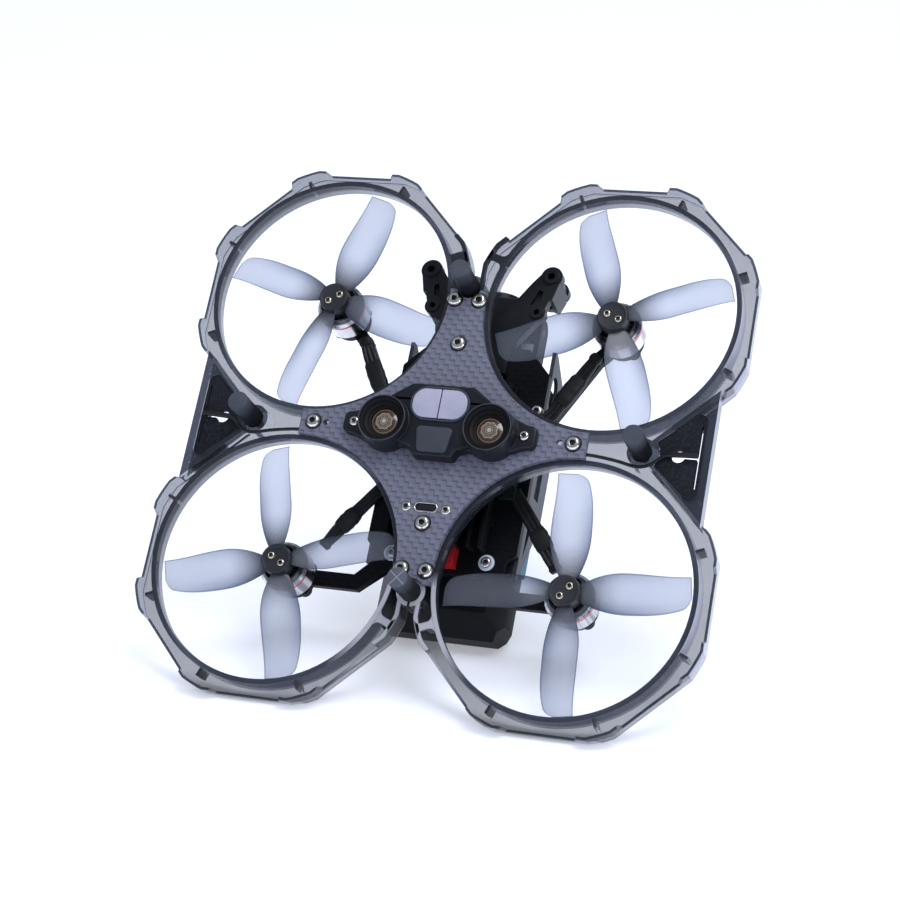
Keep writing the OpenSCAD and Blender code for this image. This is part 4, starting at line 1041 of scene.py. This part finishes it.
def make_funnels():
    """The dark stepped funnel inside each pod."""
    bm = bmesh.new()
    turn_on_pods(bm, [(8.34, 9.2), (8.0, 9.25), (7.75, 8.9), (7.2, 8.3), (7.1, 7.6), (6.1, 7.2),
                      (6.0, 6.4), (5.15, 6.2), (5.05, 4.8), (8.3, 4.6), (8.34, 9.2)])
    add_piece("vision_funnels", bm, "funnel_black", "vision_lens_rims")


def make_lenses():
    """Slightly hollow discs that carry their own radius and angle for the glass material."""
    bm = bmesh.new()
    radial, turn = bm.verts.layers.float.new("radial"), bm.verts.layers.float.new("turn")
    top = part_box("vision_housing")[1][2] - RAISED
    steps, rings_count, r_out = 96, 18, 4.95 * MM
    for centre in lens_centres():
        rings = []
        for k in range(rings_count + 1):
            out = max(k, 0.2) / rings_count
            height = top + 0.9 * MM * (out ** 2)
            ring = []
            for j in range(steps):
                a = 2 * math.pi * j / steps
                vert = bm.verts.new((centre.x + r_out * out * math.cos(a),
                                     centre.y + r_out * out * math.sin(a), height))
                vert[radial], vert[turn] = out, a
                ring.append(vert)
            rings.append(ring)
        join_rings(bm, rings)
        bm.faces.new(rings[0])
    add_piece("vision_glass", bm, "lens_glass", "vision_lenses")


def make_vision_cap():
    low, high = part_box("vision_cap")
    wide, narrow = high[0], 0.76 * high[0]
    outline = fillet([(-wide, high[1]), (wide, high[1]), (narrow, low[1]), (-narrow, low[1])], 1.7 * MM)
    bm = bmesh.new()
    pillow(bm, outline, high[2], low[2] - 0.1 * MM, 0.7 * MM)
    add_piece("vision_cover", bm, "slate_plastic", "vision_cap")


USB_Y, USB_WIDE, USB_TALL = -29.1 * MM, 8.6 * MM, 3.3 * MM


def make_usb():
    """Bright rolled rim, dark inside and a small tongue."""
    low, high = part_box("usb_port")
    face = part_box("belly_plate")[0][2]
    rim, inside = bmesh.new(), bmesh.new()
    path = [Vector((p.x, p.y, face - 0.05 * MM)) for p in stadium(USB_WIDE, USB_TALL, (0.0, USB_Y))]
    sweep(rim, path, lambda t: 0.30 * MM, lambda t: 0.26 * MM, 12, 2.0, True)
    add_piece("usb_rim", rim, "steel_screw", "usb_port")
    cavity, tongue = (8.3 * MM, 3.0 * MM), (6.4 * MM, 0.8 * MM)
    pillow(inside, stadium(*cavity, (0.0, USB_Y)), face + 1.4 * MM, face + 0.25 * MM, 0.1 * MM)
    pillow(inside, stadium(*tongue, (0.0, USB_Y)), face + 0.4 * MM, face + 0.05 * MM, 0.1 * MM)
    pillow(inside, fillet([(-10 * MM, low[1]), (10 * MM, low[1]), (10 * MM, high[1] - 1 * MM),
                           (-10 * MM, high[1] - 1 * MM)], 1 * MM), high[2] - 1.4 * MM, high[2], 0.2 * MM)
    add_piece("usb_inside", inside, "black_plastic", slot="steel_screw")


make_usb()
make_vision_body()
make_vision_rims()
make_funnels()
make_lenses()
make_vision_cap()
refine("range_window", 0.25 * MM)


# ---- battery, camera and frame details ------------------------------------

for node_name, rounding in (("battery_pack", 0.9), ("camera_body", 0.8), ("gimbal_motor", 0.5),
                            ("gps_module", 0.4), ("stack_cover", 0.8), ("latch_button_right", 0.5),
                            ("latch_button_left", 0.5), ("power_button", 0.4), ("camera_cage", 0.3)):
    refine(node_name, rounding * MM, 3)


# ---- floor, light and camera ----------------------------------------------

FLOOR_UP = Vector((0.0, 0.745, -0.667)).normalized()
FLOOR_TOUCH = Vector((0.0, -0.1085, 0.022))     # just under the rear ducts and the battery's end
FLOOR_HALF = 3.0


def make_floor():
    mesh = bpy.data.meshes.new("floor")
    side = Vector((1.0, 0.0, 0.0))
    ahead = FLOOR_UP.cross(side)
    corners = [FLOOR_TOUCH + FLOOR_HALF * (a * side + b * ahead)
               for a, b in ((-1, -1), (1, -1), (1, 1), (-1, 1))]
    mesh.from_pydata(corners, [], [(0, 1, 2, 3)])
    floor = link_new("floor", mesh)
    s = Shader()
    tone = s.mix(s.noise(6.0), (0.72, 0.78, 0.93), (0.75, 0.81, 0.95))
    normal = s.bump(s.noise(220.0, 3.0), 0.05, 0.0002)
    paper = s.principled(tone, 0.6, normal, Emission_Color=(1.0, 1.0, 1.0), Emission_Strength=0.26)
    behind = s.node("NewGeometry", {}, "Backfacing")
    s.owner.name = "floor"
    mesh.materials.append(s.done(s.blend(behind, paper, s.clear())))


ROOM_TINT, ROOM_POWER = (0.97, 0.975, 1.0), 1.06
GLOSS_TINT, GLOSS_POWER = (0.74, 0.86, 1.0), 0.34


def make_light():
    world = bpy.data.worlds.new("studio")
    bpy.context.scene.world = world
    s = Shader(world)
    # Reflections see a dimmer, cooler room, so that black parts stay black
    glossy = s.node("LightPath", {}, "Is Glossy Ray")
    tint = s.mix(glossy, ROOM_TINT, GLOSS_TINT)
    s.done(s.node("Background", {0: tint, 1: s.ramp(glossy, ROOM_POWER, GLOSS_POWER)}))
    softbox("key", (-0.35, 0.55, -0.65), 0.5, 5.0)
    softbox("side", (-0.75, -0.25, 0.05), 0.5, 4.0)


def softbox(name, place, size, power):
    """A square area light that looks at the middle of the drone."""
    light = bpy.data.lights.new(name, "AREA")
    light.energy = power
    light.size = size
    lamp = link_new(name, light)
    aim = Vector((0.0, 0.0, 0.03)) - Vector(place)
    lamp.matrix_world = Matrix.Translation(place) @ aim.to_track_quat("-Z", "Y").to_matrix().to_4x4()


CAMERA_AT = Vector((-0.23733, -0.24178, -0.66768))
CAMERA_RIGHT = Vector((-0.94815, 0.18445, 0.25884))
CAMERA_UP = Vector((0.0858, 0.93269, -0.35034))
CAMERA_BACK = -Vector((0.30604, 0.30996, 0.90015))


def make_camera():
    """Looks at the belly from below and behind, with the front of the drone at the top."""
    camera = link_new("camera", bpy.data.cameras.new("camera"))
    turn = Matrix((CAMERA_RIGHT, CAMERA_UP, CAMERA_BACK)).transposed().to_4x4()
    camera.matrix_world = Matrix.Translation(CAMERA_AT) @ turn
    camera.data.lens = 83.0
    camera.data.sensor_width = 36.0
    camera.data.clip_start = 0.01
    bpy.context.scene.camera = camera


make_floor()
make_light()
make_camera()
bpy.context.scene.view_settings.view_transform = "Standard"

bpy.context.view_layer.update()
